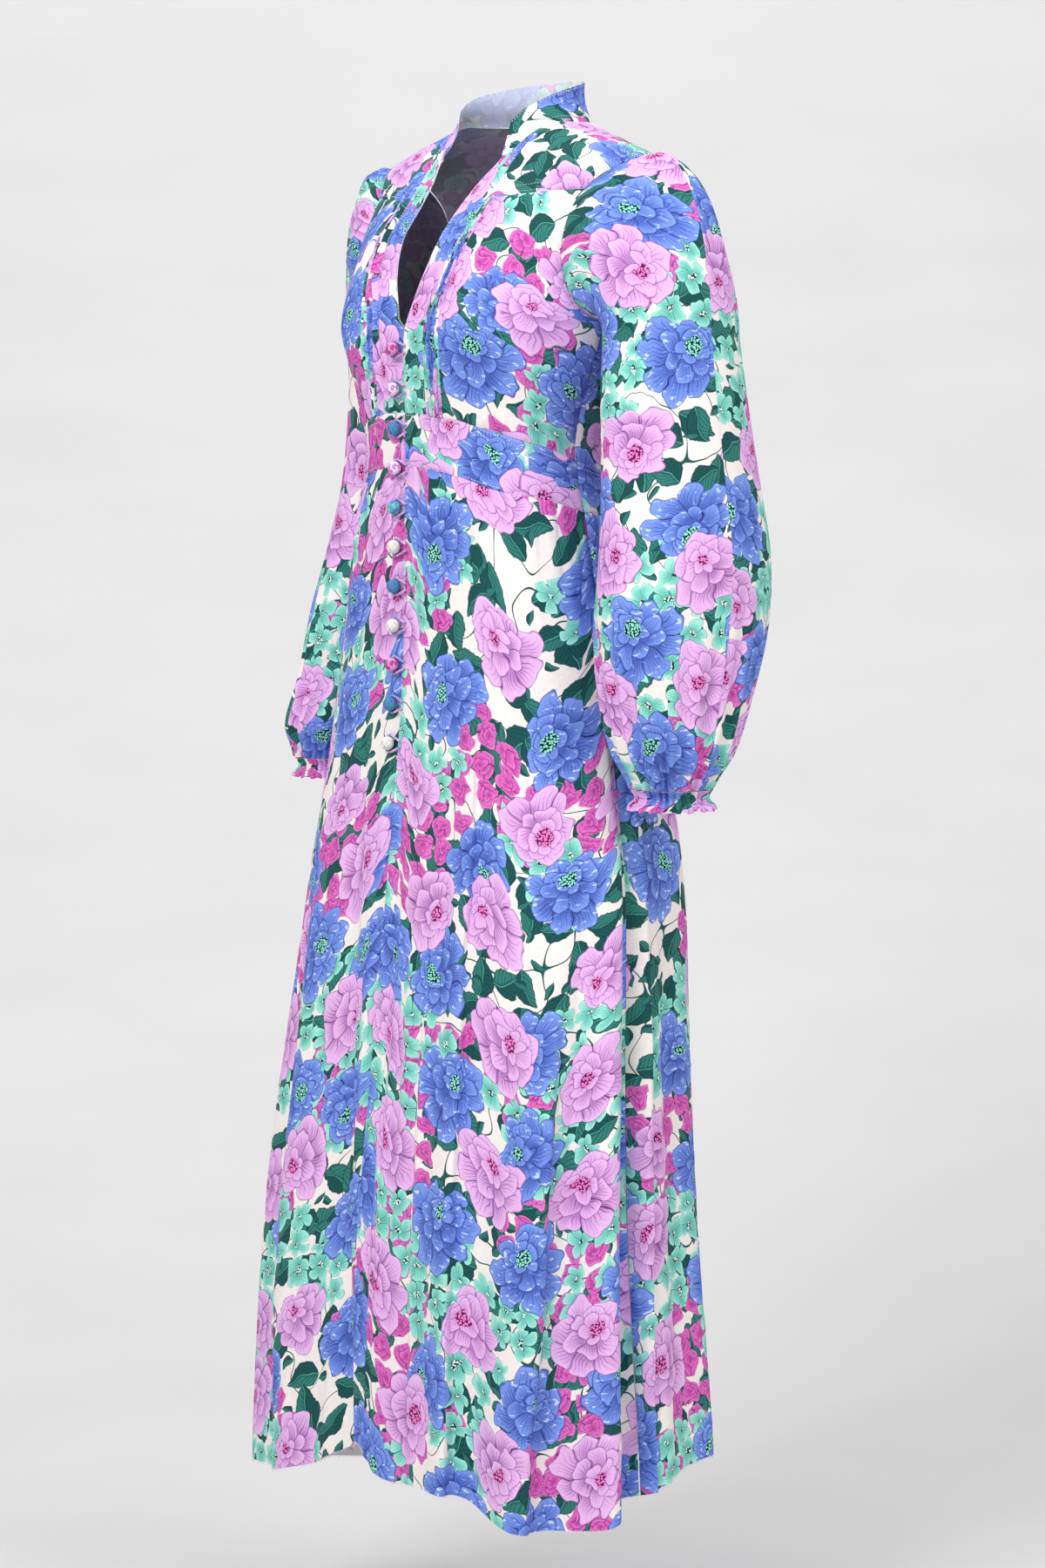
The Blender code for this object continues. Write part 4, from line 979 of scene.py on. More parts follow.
def vector(tree, operation, *values, scale=None, output=0):
    node = tree.nodes.new("ShaderNodeVectorMath")
    node.operation = operation
    for socket, value in zip(node.inputs, values):
        feed(tree, socket, value)
    if scale is not None:
        feed(tree, node.inputs["Scale"], scale)
    return Wire(tree, node.outputs[output])


def ramp(value, start, end, low=0.0, high=1.0):
    tree = value.tree
    node = tree.nodes.new("ShaderNodeMapRange")
    for name, item in (("Value", value), ("From Min", start), ("From Max", end),
                       ("To Min", low), ("To Max", high)):
        feed(tree, node.inputs[name], item)
    return Wire(tree, node.outputs["Result"])


def blend(factor, start, end):
    """Mix of two numbers or two colours."""
    tree = factor.tree
    node = tree.nodes.new("ShaderNodeMix")
    colour = isinstance(end, tuple) or (isinstance(end, Wire) and end.socket.type == "RGBA")
    node.data_type = "RGBA" if colour else "FLOAT"
    first = 6 if colour else 2
    feed(tree, node.inputs[0], factor)
    feed(tree, node.inputs[first], start)
    feed(tree, node.inputs[first + 1], end)
    return Wire(tree, node.outputs[2 if colour else 0])


def parts(wire):
    node = wire.tree.nodes.new("ShaderNodeSeparateXYZ")
    feed(wire.tree, node.inputs[0], wire)
    return [Wire(wire.tree, output) for output in node.outputs]


def spun(place, angle):
    """Places turned in the plane of the cloth."""
    tree = place.tree
    node = tree.nodes.new("ShaderNodeVectorRotate")
    node.rotation_type = "Z_AXIS"
    feed(tree, node.inputs["Vector"], place)
    feed(tree, node.inputs["Angle"], angle)
    return Wire(tree, node.outputs[0])


def cells(tree, place, jitter):
    node = tree.nodes.new("ShaderNodeTexVoronoi")
    node.voronoi_dimensions = "2D"
    feed(tree, node.inputs["Vector"], place)
    node.inputs["Scale"].default_value = 1.0
    node.inputs["Randomness"].default_value = jitter
    return [Wire(tree, node.outputs[name]) for name in ("Distance", "Color", "Position")]


def clouds(tree, place, scale, detail=0.0, output=0):
    node = tree.nodes.new("ShaderNodeTexNoise")
    node.noise_dimensions = "2D"
    feed(tree, node.inputs["Vector"], place)
    node.inputs["Scale"].default_value = scale
    node.inputs["Detail"].default_value = detail
    return Wire(tree, node.outputs[output])


def shades(value, stops):
    node = value.tree.nodes.new("ShaderNodeValToRGB")
    feed(value.tree, node.inputs[0], value)
    elements = node.color_ramp.elements
    while len(elements) < len(stops):
        elements.new(0.5)
    for element, (position, colour) in zip(elements, stops):
        element.position = position
        element.color = (*linear(colour), 1.0)
    return Wire(value.tree, node.outputs[0])


def linear(colour):
    return tuple((c / 255.0 / 12.92) if c < 10.3 else ((c / 255.0 + 0.055) / 1.055) ** 2.4 for c in colour)


def paint(colour):
    return (*linear(colour), 1.0)


# ---------------------------------------------------------------- the print
BLUE = ((0.0, (28, 36, 92)), (0.22, (60, 82, 164)), (0.52, (94, 122, 206)), (0.85, (124, 154, 228)),
        (1.0, (198, 216, 250)))
LILAC = ((0.0, (92, 40, 104)), (0.20, (160, 104, 172)), (0.50, (212, 158, 216)),
         (0.85, (232, 186, 234)), (1.0, (246, 222, 246)))
AQUA = ((0.0, (14, 72, 78)), (0.24, (76, 160, 150)), (0.64, (128, 210, 194)), (1.0, (184, 236, 222)))
PINK = ((0.0, (100, 22, 84)), (0.26, (172, 62, 146)), (0.66, (212, 96, 182)), (1.0, (236, 150, 212)))
LEAF = ((0.0, (6, 34, 40)), (0.35, (14, 70, 70)), (0.75, (34, 108, 100)), (1.0, (104, 184, 164)))
GROUND_COLOUR = (236, 229, 225)

# cell, shift, half length and half width in millimetres, share of the cells left empty
LEAF_LAYERS = (
    (50.0, (0.2, 0.7, 0.0), 22.0, 14.0, 0.05),
    (46.0, (7.6, 3.1, 0.0), 20.0, 13.0, 0.10),
    (25.0, (2.9, 5.3, 0.0), 9.0, 4.4, 0.50),
)

# rings of petals, outermost first: reach, petals, depth of the notches, turn
PEONY = ((1.00, 7, 0.24, 0.0), (0.70, 6, 0.34, 0.9), (0.42, 5, 0.40, 2.1))
DAHLIA = ((1.00, 8, 0.30, 0.3), (0.66, 7, 0.34, 1.5), (0.38, 5, 0.38, 0.2))
BLOSSOM = ((1.00, 5, 0.55, 0.0),)
VEINS = 7.0                   # ink strokes on a petal
FULL_TURN = 6.283             # in radians
ROSE = ((1.00, 4, 0.16, 0.0), (0.74, 3, 0.22, 1.2), (0.46, 3, 0.30, 2.6))


def bloom(tree, flat, warp, cell, shift, jitter, radius, rings, colours, lean,
          eye=None, dots=None, only=None, glint=None):
    """One layer of flowers, one to a cell: its mask and its colour."""
    place = vector(tree, "MULTIPLY_ADD", flat, (1.0 / cell,) * 3, shift)
    _, chance, centre = cells(tree, place, jitter)
    first, second, third = parts(chance)
    local = vector(tree, "SUBTRACT", place, centre)
    local = vector(tree, "MULTIPLY_ADD", local, (cell / radius,) * 3,
                   vector(tree, "SCALE", warp, scale=1.0 / radius))
    local = vector(tree, "SCALE", spun(local, first * FULL_TURN), scale=ramp(second, 0.0, 1.0, 1.18, 0.92))
    local = vector(tree, "MULTIPLY", local, (1.0, 1.0 + 0.9 * lean, 1.0))
    tone = alpha = None
    spin = third * FULL_TURN
    for step, (reach, petals, notch, turn) in enumerate(rings):
        spot = vector(tree, "ADD", local, (0.0, lean * step, 0.0)) if step else local
        x, y, _ = parts(spot)
        away = vector(tree, "LENGTH", spot, output=1)
        angle = number(tree, "ARCTAN2", y, x)
        uneven = number(tree, "SINE", number(tree, "MULTIPLY_ADD", angle, 3.0, spin * 2.0)) * (0.10 * reach)
        phase = number(tree, "MULTIPLY_ADD", angle, petals / 2.0, spin + turn)
        lobe = number(tree, "ABSOLUTE", number(tree, "COSINE", phase))
        edge = number(tree, "MULTIPLY_ADD", number(tree, "POWER", lobe, 0.5),
                      reach * notch, uneven + reach * (1.0 - notch))
        gap = edge - away
        mask = ramp(gap, 0.0, 0.02)
        inner = rings[step + 1][0] * 0.7 if step + 1 < len(rings) else 0.05
        rise = ramp(away, inner, edge, 0.34, 0.90)
        veins = ramp(number(tree, "ABSOLUTE", number(tree, "SINE", phase * VEINS)), 0.05, 0.38)
        veins = number(tree, "MAXIMUM", veins, ramp(rise, 0.42, 0.86, 0.05, 1.0))
        seam = ramp(lobe, 0.02, 0.16)
        outline = ramp(gap, 0.012, 0.048, 0.0, 1.0)
        shade = number(tree, "MULTIPLY", number(tree, "MULTIPLY", rise, veins),
                       number(tree, "MINIMUM", seam, outline))
        if step == 0:
            tone, alpha = shade, mask
        else:
            tone = blend(mask, tone, shade)
    if glint:
        tone = tone + glint
    colour = shades(tone, colours)
    if eye:
        reach, dark, bright = eye
        disc = ramp(away, reach, reach - 0.03)
        seeds = blend(dots, paint(dark), paint(bright))
        colour = blend(disc, colour, seeds)
    if only is not None:
        share = clouds(tree, centre, only[0])
        alpha = alpha * ramp(share, only[1], only[1] + only[2])
    return alpha, colour


def leaflets(tree, flat, warp, cell, shift, length, width, share):
    """Pointed leaves with a midrib and slanting veins, one to a cell, on a share of the cells."""
    place = vector(tree, "MULTIPLY_ADD", flat, (1.0 / cell,) * 3, shift)
    _, chance, centre = cells(tree, place, 0.75)
    first, second, _ = parts(chance)
    local = vector(tree, "SUBTRACT", place, centre)
    local = vector(tree, "MULTIPLY_ADD", local, (cell / length,) * 3,
                   vector(tree, "SCALE", warp, scale=0.6 / length))
    x, y, _ = parts(spun(local, first * FULL_TURN))
    y = y - number(tree, "MULTIPLY_ADD", x * x, 0.22, -0.10)
    side = number(tree, "ABSOLUTE", y)
    teeth = number(tree, "ABSOLUTE", number(tree, "SINE", x * 11.0)) * 0.05
    bend = number(tree, "MULTIPLY_ADD", x * x, -1.0, 1.0) * ramp(x, -1.0, 1.0, 1.25, 0.75)
    gap = number(tree, "MULTIPLY_ADD", side, -length / width, bend - teeth)
    mask = ramp(gap, 0.0, 0.06) * ramp(second, share, share + 0.0001)
    slant = number(tree, "MULTIPLY_ADD", x, 13.0, side * -15.0)
    chevron = number(tree, "ABSOLUTE", number(tree, "SINE", slant))
    light = ramp(y, -0.05, 0.12, 0.42, 0.78)
    shade = number(tree, "MULTIPLY", light, ramp(chevron, 0.04, 0.40, 0.42, 1.0)) * ramp(gap, 0.02, 0.12)
    shade = number(tree, "MAXIMUM", shade, ramp(side, 0.040, 0.012, 0.0, 0.9))
    return mask, shades(shade, LEAF)


def print_group():
    """The printed cloth's colour and its weave height, from flat cloth places in millimetres."""
    tree = bpy.data.node_groups.new("Floral print", "ShaderNodeTree")
    tree.interface.new_socket("Colour", in_out="OUTPUT", socket_type="NodeSocketColor")
    tree.interface.new_socket("Weave", in_out="OUTPUT", socket_type="NodeSocketFloat")
    uv = tree.nodes.new("ShaderNodeUVMap")
    uv.uv_map = "Cloth"
    flat = vector(tree, "SCALE", Wire(tree, uv.outputs[0]), scale=1000.0)
    drift = vector(tree, "SUBTRACT", clouds(tree, flat, 0.045, 1.0, 1), (0.5, 0.5, 0.5))
    warp = vector(tree, "MULTIPLY", drift, (15.0, 15.0, 0.0))
    spread, _, _ = cells(tree, vector(tree, "SCALE", flat, scale=0.42), 0.9)
    dots = ramp(spread, 0.46, 0.36)
    ground = paint(GROUND_COLOUR)

    lines = clouds(tree, vector(tree, "ADD", flat, (311.0, 77.0, 0.0)), 0.022, 0.0)
    stem = ramp(number(tree, "ABSOLUTE", lines - 0.5), 0.011, 0.007)
    colour = blend(stem, ground, paint((24, 84, 80)))
    streaks = clouds(tree, vector(tree, "MULTIPLY", flat, (1.0, 2.4, 1.0)), 0.13, 0.0)
    glint = ramp(streaks, 0.72, 0.76, 0.0, 0.30)
    grid = 126.0
    big = bloom(tree, flat, warp, grid, (0.15, 0.35, 0.0), 0.55, 43.0, PEONY, LILAC, 0.15,
                eye=(0.19, (96, 22, 84), (240, 130, 200)), dots=dots)
    small = bloom(tree, flat, warp, grid, (0.65, 0.85, 0.0), 0.55, 48.0, DAHLIA, BLUE, 0.15,
                  eye=(0.20, (14, 22, 50), (140, 226, 200)), dots=dots, glint=glint)
    for cell, shift, length, width, share in LEAF_LAYERS:
        mask, leaf = leaflets(tree, flat, warp, cell, shift, length, width, share)
        colour = blend(mask, colour, leaf)
    mask, rose = bloom(tree, flat, warp, 28.0, (4.3, 8.1, 0.0), 0.42, 14.5, ROSE, PINK, 0.10,
                       only=(0.20, 0.54, 0.0001))
    colour = blend(mask, colour, rose)
    mask, blossom = bloom(tree, flat, warp, 30.0, (9.7, 2.9, 0.0), 0.36, 17.0, BLOSSOM, AQUA, 0.10,
                          eye=(0.20, (14, 44, 52), (216, 238, 226)), dots=dots, only=(0.18, 0.52, 0.0001))
    colour = blend(mask, colour, blossom)
    for item in (small, big):
        colour = blend(item[0], colour, item[1])

    across = clouds(tree, vector(tree, "MULTIPLY", flat, (0.12, 1.6, 1.0)), 1.0, 1.0)
    along_way = clouds(tree, vector(tree, "MULTIPLY", flat, (1.6, 0.12, 1.0)), 1.0, 1.0)
    weave = across + along_way
    grain = ramp(weave, 0.7, 1.3, 0.93, 1.05)
    tinted = vector(tree, "SCALE", colour, scale=grain)
    out = tree.nodes.new("NodeGroupOutput")
    feed(tree, out.inputs["Colour"], tinted)
    feed(tree, out.inputs["Weave"], weave)
    return tree


def principled(name, roughness=0.9, sheen=0.02):
    material = bpy.data.materials.new(name)
    material.use_nodes = True
    tree = material.node_tree
    shader = tree.nodes["Principled BSDF"]
    shader.inputs["Roughness"].default_value = roughness
    shader.inputs["Specular IOR Level"].default_value = 0.25
    shader.inputs["Sheen Weight"].default_value = sheen
    shader.inputs["Sheen Roughness"].default_value = 0.5
    return material, tree, shader


def bump(tree, shader, height, strength, distance):
    node = tree.nodes.new("ShaderNodeBump")
    node.inputs["Strength"].default_value = strength
    node.inputs["Distance"].default_value = distance
    feed(tree, node.inputs["Height"], height)
    tree.links.new(node.outputs[0], shader.inputs["Normal"])


def print_material(name, group, pale):
    material, tree, shader = principled(name)
    node = tree.nodes.new("ShaderNodeGroup")
    node.node_tree = group
    colour = Wire(tree, node.outputs["Colour"])
    # Fades the print toward pale grey; on the wrong side part of this paleness is painted fill light for the
    # shaded inside.
    if pale:
        fade = tree.nodes.new("ShaderNodeMix")
        fade.data_type = "RGBA"
        fade.inputs[0].default_value = pale
        fade.inputs[7].default_value = paint((226, 226, 232))
        feed(tree, fade.inputs[6], colour)
        colour = Wire(tree, fade.outputs[2])
    feed(tree, shader.inputs["Base Color"], colour)
    bump(tree, shader, Wire(tree, node.outputs["Weave"]), 0.35, 0.0003)
    return material


def covered_material(name, base, second):
    """A scrap of the print on a button or a loop: two of its colours with the weave."""
    material, tree, shader = principled(name)
    place = tree.nodes.new("ShaderNodeTexCoord")
    spot = Wire(tree, place.outputs["Object"])
    patches = tree.nodes.new("ShaderNodeTexNoise")
    feed(tree, patches.inputs["Vector"], spot)
    patches.inputs["Scale"].default_value = 170.0
    patches.inputs["Detail"].default_value = 2.0
    value = Wire(tree, patches.outputs[0])
    colour = blend(ramp(value, 0.50, 0.56), paint(base), paint(second))
    colour = blend(ramp(number(tree, "ABSOLUTE", value - 0.47), 0.018, 0.006), colour,
                   paint(tuple(c * 0.5 for c in base)))
    feed(tree, shader.inputs["Base Color"], colour)
    threads = tree.nodes.new("ShaderNodeTexNoise")
    feed(tree, threads.inputs["Vector"], spot)
    threads.inputs["Scale"].default_value = 1600.0
    bump(tree, shader, Wire(tree, threads.outputs[0]), 0.4, 0.0003)
    return material


def thread_material(name, colour):
    material, tree, shader = principled(name, 0.8, 0.05)
    place = tree.nodes.new("ShaderNodeTexCoord")
    value = tree.nodes.new("ShaderNodeTexNoise")
    tree.links.new(place.outputs["Object"], value.inputs["Vector"])
    value.inputs["Scale"].default_value = 900.0
    tone = ramp(Wire(tree, value.outputs[0]), 0.3, 0.7)
    feed(tree, shader.inputs["Base Color"],
         blend(tone, paint(tuple(c * 0.86 for c in colour)), paint(colour)))
    bump(tree, shader, Wire(tree, value.outputs[0]), 0.3, 0.0002)
    return material


GROUP = print_group()
PRINT = print_material("Printed cloth", GROUP, 0.0)
# Wrong side: faded toward pale grey, partly its own paler colour and partly painted fill light that
# brightens the shaded inside of the dress.
WRONG_SIDE = print_material("Printed cloth, wrong side", GROUP, 0.60)
THREAD = thread_material("Sewing thread", (232, 222, 232))
FRAY = thread_material("Frayed thread", (236, 232, 234))


# ---------------------------------------------------------------- pieces of the bodice
def waist_wrinkles(across, up, u, v, points):
    return 0.0005 * noise(u * 60.0, v * 45.0, 21) + 0.0003 * ridges(u * 90.0, v * 60.0, 22)


def calm_wrinkles(across, up, u, v, points):
    return 0.0006 * noise(u * 28.0, v * 14.0, 31) + 0.0003 * ridges(u * 70.0, v * 50.0, 32)


def front_stops():
    width = FRONT_PANEL_WIDTH
    fine = np.arange(0, PINTUCK_COUNT * 10 + 1) / 10.0 * PINTUCK_PITCH + PINTUCK_START
    rest = np.linspace(fine[-1], width, 71)[1:]
    return np.concatenate(([0.0, PINTUCK_START / 2], fine, rest)) / width


def tuck_rise(across, up, side):
    place = across if side > 0 else 1.0 - across
    metres = place * FRONT_PANEL_WIDTH - PINTUCK_START
    wander = 0.00045 * noise(up * 55.0, np.floor(metres / PINTUCK_PITCH), 41 + side)
    saw = (metres + wander) / PINTUCK_PITCH
    inside = (saw > 0.0) & (saw < PINTUCK_COUNT)
    share = saw % 1.0
    profile = np.where(share < 0.80, (share / 0.80) ** 1.4, 1.0 - ((share - 0.80) / 0.20) ** 2)
    fade = 0.85 + 0.3 * noise(up * 30.0, np.floor(saw), 43 + side)
    return np.where(inside, TUCK_SHOWS * profile * fade, 0.0)


def tucked_print(side):
    """Each tuck hides a strip of cloth, so the print jumps from tuck to tuck."""
    def place(across, up, u, v, points):
        away = across if side > 0 else 1.0 - across
        tuck = (away * FRONT_PANEL_WIDTH - PINTUCK_START) / PINTUCK_PITCH
        hidden = np.floor(np.clip(tuck + 0.01, 0.0, PINTUCK_COUNT)) * TUCK_TAKES
        return u + hidden * side, v
    return place


def yoke_print(across, up, u, v, points):
    """The yoke is cut flat, as seen from above, with the shoulders let down."""
    x, y, z = points[..., 0], points[..., 1], points[..., 2]
    return x * 1.04, y + 0.8 * z * np.tanh((0.013 - y) / 0.02)


def front_detail(side):
    def detail(across, up, u, v, points):
        away = (across if side > 0 else 1.0 - across)
        soft = ease((away - 0.16) / 0.2)
        folds = 0.0016 * noise(u * 24.0, v * 7.0, 51) * soft * (1.0 - 0.4 * up)
        low = 0.0012 * noise(u * 70.0, v * 6.0, 52) * soft * (1.0 - ease(up / 0.35))
        return tuck_rise(across, up, side) + folds + low + 0.0003 * ridges(u * 60.0, v * 50.0, 53)
    return detail


def build_cloth():
    cloth("placket_left", 18, 110, placket_surface(LEFT_EDGE, no_drop), detail=calm_wrinkles,
          sewn="bottom top right", print_at=(0.31, 0.12))
    right_band = placket_surface(-RIGHT_EDGE, lambda side, height: right_lap_drop(-side, height))
    cloth("placket_right", 24, 110, mirrored(right_band), detail=calm_wrinkles,
          sewn="bottom top left", print_at=(0.83, 0.47))
    front = bodice_front_surface()
    stops = front_stops()
    cloth("bodice_front_left", len(stops) - 1, 110, front, detail=front_detail(1.0),
          print_at=(0.45, 0.90), stops=stops, place_print=tucked_print(1.0))
    cloth("bodice_front_right", len(stops) - 1, 110, mirrored(front), detail=front_detail(-1.0),
          print_at=(1.37, 0.33), stops=(1.0 - stops)[::-1], place_print=tucked_print(-1.0))
    cloth("bodice_back", 110, 80, bodice_back_surface(), detail=calm_wrinkles, print_at=(2.2, 1.1))
    cloth("yoke", 240, 24, yoke_surface(), detail=calm_wrinkles, print_at=(0.9, 1.7),
          place_print=yoke_print)
    cloth("collar", 140, 18, collar_surface, detail=waist_wrinkles, sewn="bottom",
          print_at=(1.9, 0.4), bottom_turn=0.0026)
    cloth("waistband_front_left", 110, 22, band_surface("left_front", "left_side_front"),
          detail=waist_wrinkles, sewn="bottom top right", print_at=(0.2, 2.3))
    cloth("waistband_front_right", 110, 22, band_surface("right_side_front", "right_front", swung_drop),
          detail=waist_wrinkles, sewn="bottom top left", print_at=(1.3, 2.6))
    cloth("waistband_back", 130, 20, band_surface("left_side_back", "right_side_back"),
          detail=waist_wrinkles, print_at=(2.9, 2.0))
    cloth("skirt_front_left", 150, 190, skirt_surface("left_front", "left_side_front"),
          sewn="top right", print_at=(0.6, 3.1))
    cloth("skirt_front_right", 130, 190, skirt_surface("right_side_front", "right_front", swung_drop),
          sewn="top left", print_at=(2.1, 3.6))
    cloth("skirt_back", 220, 180, skirt_surface("left_side_back", "right_side_back"),
          sewn="top left right", print_at=(4.0, 3.3))
    for side, table, seed in (("left", LEFT_SLEEVE, 1.0), ("right", RIGHT_SLEEVE, 4.0)):
        sleeve, cuff = sleeve_surface(table, seed), cuff_surface(table, seed)
        if side == "right":
            sleeve, cuff = mirrored(sleeve), mirrored(cuff)
        cloth("sleeve_" + side, 240, 90, sleeve, closed=True, sewn="top",
              print_at=(0.3 + seed, 5.2), top_turn=0.0035)
        cloth("cuff_" + side, 270, 14, cuff, closed=True, sewn="",
              print_at=(0.1 + seed, 6.3))


# ---------------------------------------------------------------- sewing
def distances(line):
    """How far each point of a line is from its start."""
    steps = np.linalg.norm(np.diff(line, axis=0), axis=1)
    return np.concatenate(([0.0], np.cumsum(steps)))


def read_line(where, distance, values):
    """A line's three values at a distance from its start."""
    return np.array([np.interp(where, distance, values[:, k]) for k in range(3)])


def stitch_mesh(name, paths, length=0.0024, pause=0.0009, radius=0.00028):
    """Rows of short thread stitches, each a little spindle that lies on the cloth."""
    points, faces = [], []
    for line, normal in paths:
        distance = distances(line)
        count = int(distance[-1] / (length + pause))
        for index in range(count):
            start = index * (length + pause)
            where = (start, start + 0.3 * length, start + 0.7 * length, start + length)
            spots = np.stack([read_line(w, distance, line) for w in where])
            lift = np.stack([read_line(w, distance, normal) for w in where])
            side = np.cross(spots[3] - spots[0], lift[1])
            side /= max(np.linalg.norm(side), 1e-9)
            base = len(points)
            spots = spots + lift * (SHEET_THICKNESS / 2)
            points.append(spots[0] - lift[0] * radius * 0.5)
            for k in (1, 2):
                for turn in range(4):
                    a = math.pi / 2 * turn
                    points.append(spots[k] + (side * math.cos(a) + lift[k] * (math.sin(a) + 0.4)) * radius)
            points.append(spots[3] - lift[3] * radius * 0.5)
            for turn in range(4):
                other = (turn + 1) % 4
                faces.append((base, base + 1 + turn, base + 1 + other))
                faces.append((base + 1 + turn, base + 5 + turn, base + 5 + other, base + 1 + other))
                faces.append((base + 5 + turn, base + 9, base + 5 + other))
    piece = add_mesh(name, np.array(points), faces, [THREAD])
    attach(piece, "root")
    return piece


def row_path(node, up, start=0.004, end=0.996, count=400):
    across = np.linspace(start, end, count)
    return sampled(node, across, np.full(count, up))


def column_path(node, across, start=0.01, end=0.99, count=300):
    up = np.linspace(start, end, count)
    return sampled(node, np.full(count, across), up)


def build_stitches():
    band = []
    for node in ("waistband_front_left", "waistband_front_right", "waistband_back"):
        for up in (0.045, 0.87, 0.965):
            band.append(row_path(node, up))
    stitch_mesh("waistband_topstitching", band)
    stitch_mesh("yoke_topstitching", [row_path("yoke", up, count=900) for up in (0.035, 0.12)])
    stitch_mesh("collar_topstitching", [row_path("collar", up, count=600) for up in (0.10, 0.94)])
    placket = [column_path("placket_left", 0.05), column_path("placket_left", 0.95),
               column_path("placket_right", 0.05), column_path("placket_right", 0.97)]
    stitch_mesh("placket_topstitching", placket)


def build_fray():
    """Loose thread ends along the raw hem."""
    points, faces = [], []
    for node, seed in (("skirt_front_left", 1), ("skirt_front_right", 2), ("skirt_back", 3)):
        grid = GRIDS[node]
        edge, above = grid[0], grid[1]
        distance = distances(edge)
        count = int(distance[-1] / FRAY_PITCH)
        for index in range(count):
            where = (index + 0.5) * FRAY_PITCH
            spot = read_line(where, distance, edge)
            high = read_line(where, distance, above)
            down = (spot - high) / np.linalg.norm(spot - high)
            ahead = read_line(where + 0.001, distance, edge) - spot
            ahead /= max(np.linalg.norm(ahead), 1e-9)
            outward = np.cross(ahead, -down)
            a = float(noise(np.array(index * 0.91), np.array(0.5), seed))
            b = float(noise(np.array(index * 0.77), np.array(3.5), seed + 7))
            c = float(noise(np.array(index * 0.63), np.array(7.5), seed + 9))
            length = 0.0014 + 0.0016 * abs(a) + (0.002 if index % 17 == 3 else 0.0)
            tip = spot + down * length + ahead * (0.0014 * b) + outward * (0.0010 * c)
            root = spot - down * 0.0008
            base = len(points)
            for centre, size in ((root, 0.00022), (tip, 0.00012)):
                for turn in range(3):
                    t = 2 * math.pi / 3 * turn
                    points.append(centre + (ahead * math.cos(t) + outward * math.sin(t)) * size)
            for turn in range(3):
                other = (turn + 1) % 3
                faces.append((base + turn, base + 3 + turn, base + 3 + other, base + other))
            faces.append((base, base + 1, base + 2))
            faces.append((base + 5, base + 4, base + 3))
    piece = add_mesh("hem_fray", np.array(points), faces, [FRAY])
    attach(piece, "root")


# ---------------------------------------------------------------- buttons and loops
BUTTON_LOOKS = {
    "pink": ((190, 74, 150), (222, 150, 206)),
    "lilac": ((206, 150, 212), (238, 214, 238)),
    "blue": ((92, 120, 200), (60, 140, 150)),
    "aqua": ((118, 200, 190), (80, 130, 190)),
    "cream": ((240, 232, 224), (216, 222, 214)),
}
BUTTON_ORDER = ("pink", "lilac", "blue", "lilac", "aqua", "cream", "blue", "cream", "pink", "blue", "cream")


def revolve(name, profile, sides, material):
    points, faces = [], []
    for radius, height in profile:
        for turn in range(sides):
            a = 2 * math.pi * turn / sides
            points.append((radius * math.cos(a), radius * math.sin(a), height))
    rows = len(profile)
    for row in range(rows - 1):
        for turn in range(sides):
            other = (turn + 1) % sides
            faces.append((row * sides + turn, row * sides + other, (row + 1) * sides + other,
                          (row + 1) * sides + turn))
    points += [(0, 0, profile[0][1]), (0, 0, profile[-1][1])]
    for turn in range(sides):
        other = (turn + 1) % sides
        faces.append((rows * sides, other, turn))
        faces.append((rows * sides + 1, (rows - 1) * sides + turn, (rows - 1) * sides + other))
    return add_mesh(name, np.array(points, float), faces, [material])


def outward_at(angle, height):
    east = body(angle + 1.0, height) - body(angle - 1.0, height)
    north = body(angle, height + 0.01) - body(angle, height - 0.01)
    return unit(np.cross(east, north))


def tube(name, path, radius, material, sides=10):
    """A round cord through a list of points, with closed ends."""
    path = np.array(path)
    tangent = unit(np.gradient(path, axis=0))
    side = unit(np.cross(tangent, np.array((0.3, -0.9, 0.1))))
    over = np.cross(side, tangent)
    points = []
    for centre, a, b in zip(path, side, over):
        for turn in range(sides):
            t = 2 * math.pi * turn / sides
            points.append(centre + (a * math.cos(t) + b * math.sin(t)) * radius)
    faces = []
    for row in range(len(path) - 1):
        for turn in range(sides):
            other = (turn + 1) % sides
            faces.append((row * sides + turn, (row + 1) * sides + turn, (row + 1) * sides + other,
                          row * sides + other))
    last = (len(path) - 1) * sides
    faces.append(tuple(range(sides)))
    faces.append(tuple(last + turn for turn in reversed(range(sides))))
    return add_mesh(name, np.array(points), faces, [material])


def smooth_path(points, count):
    """A Catmull-Rom curve through points."""
    points = np.array(points)
    keys = np.linspace(0, len(points) - 1, count)
    rows = [(float(k), *point) for k, point in enumerate(points)]
    return np.stack([curve(rows, keys, column) for column in (1, 2, 3)], axis=-1)


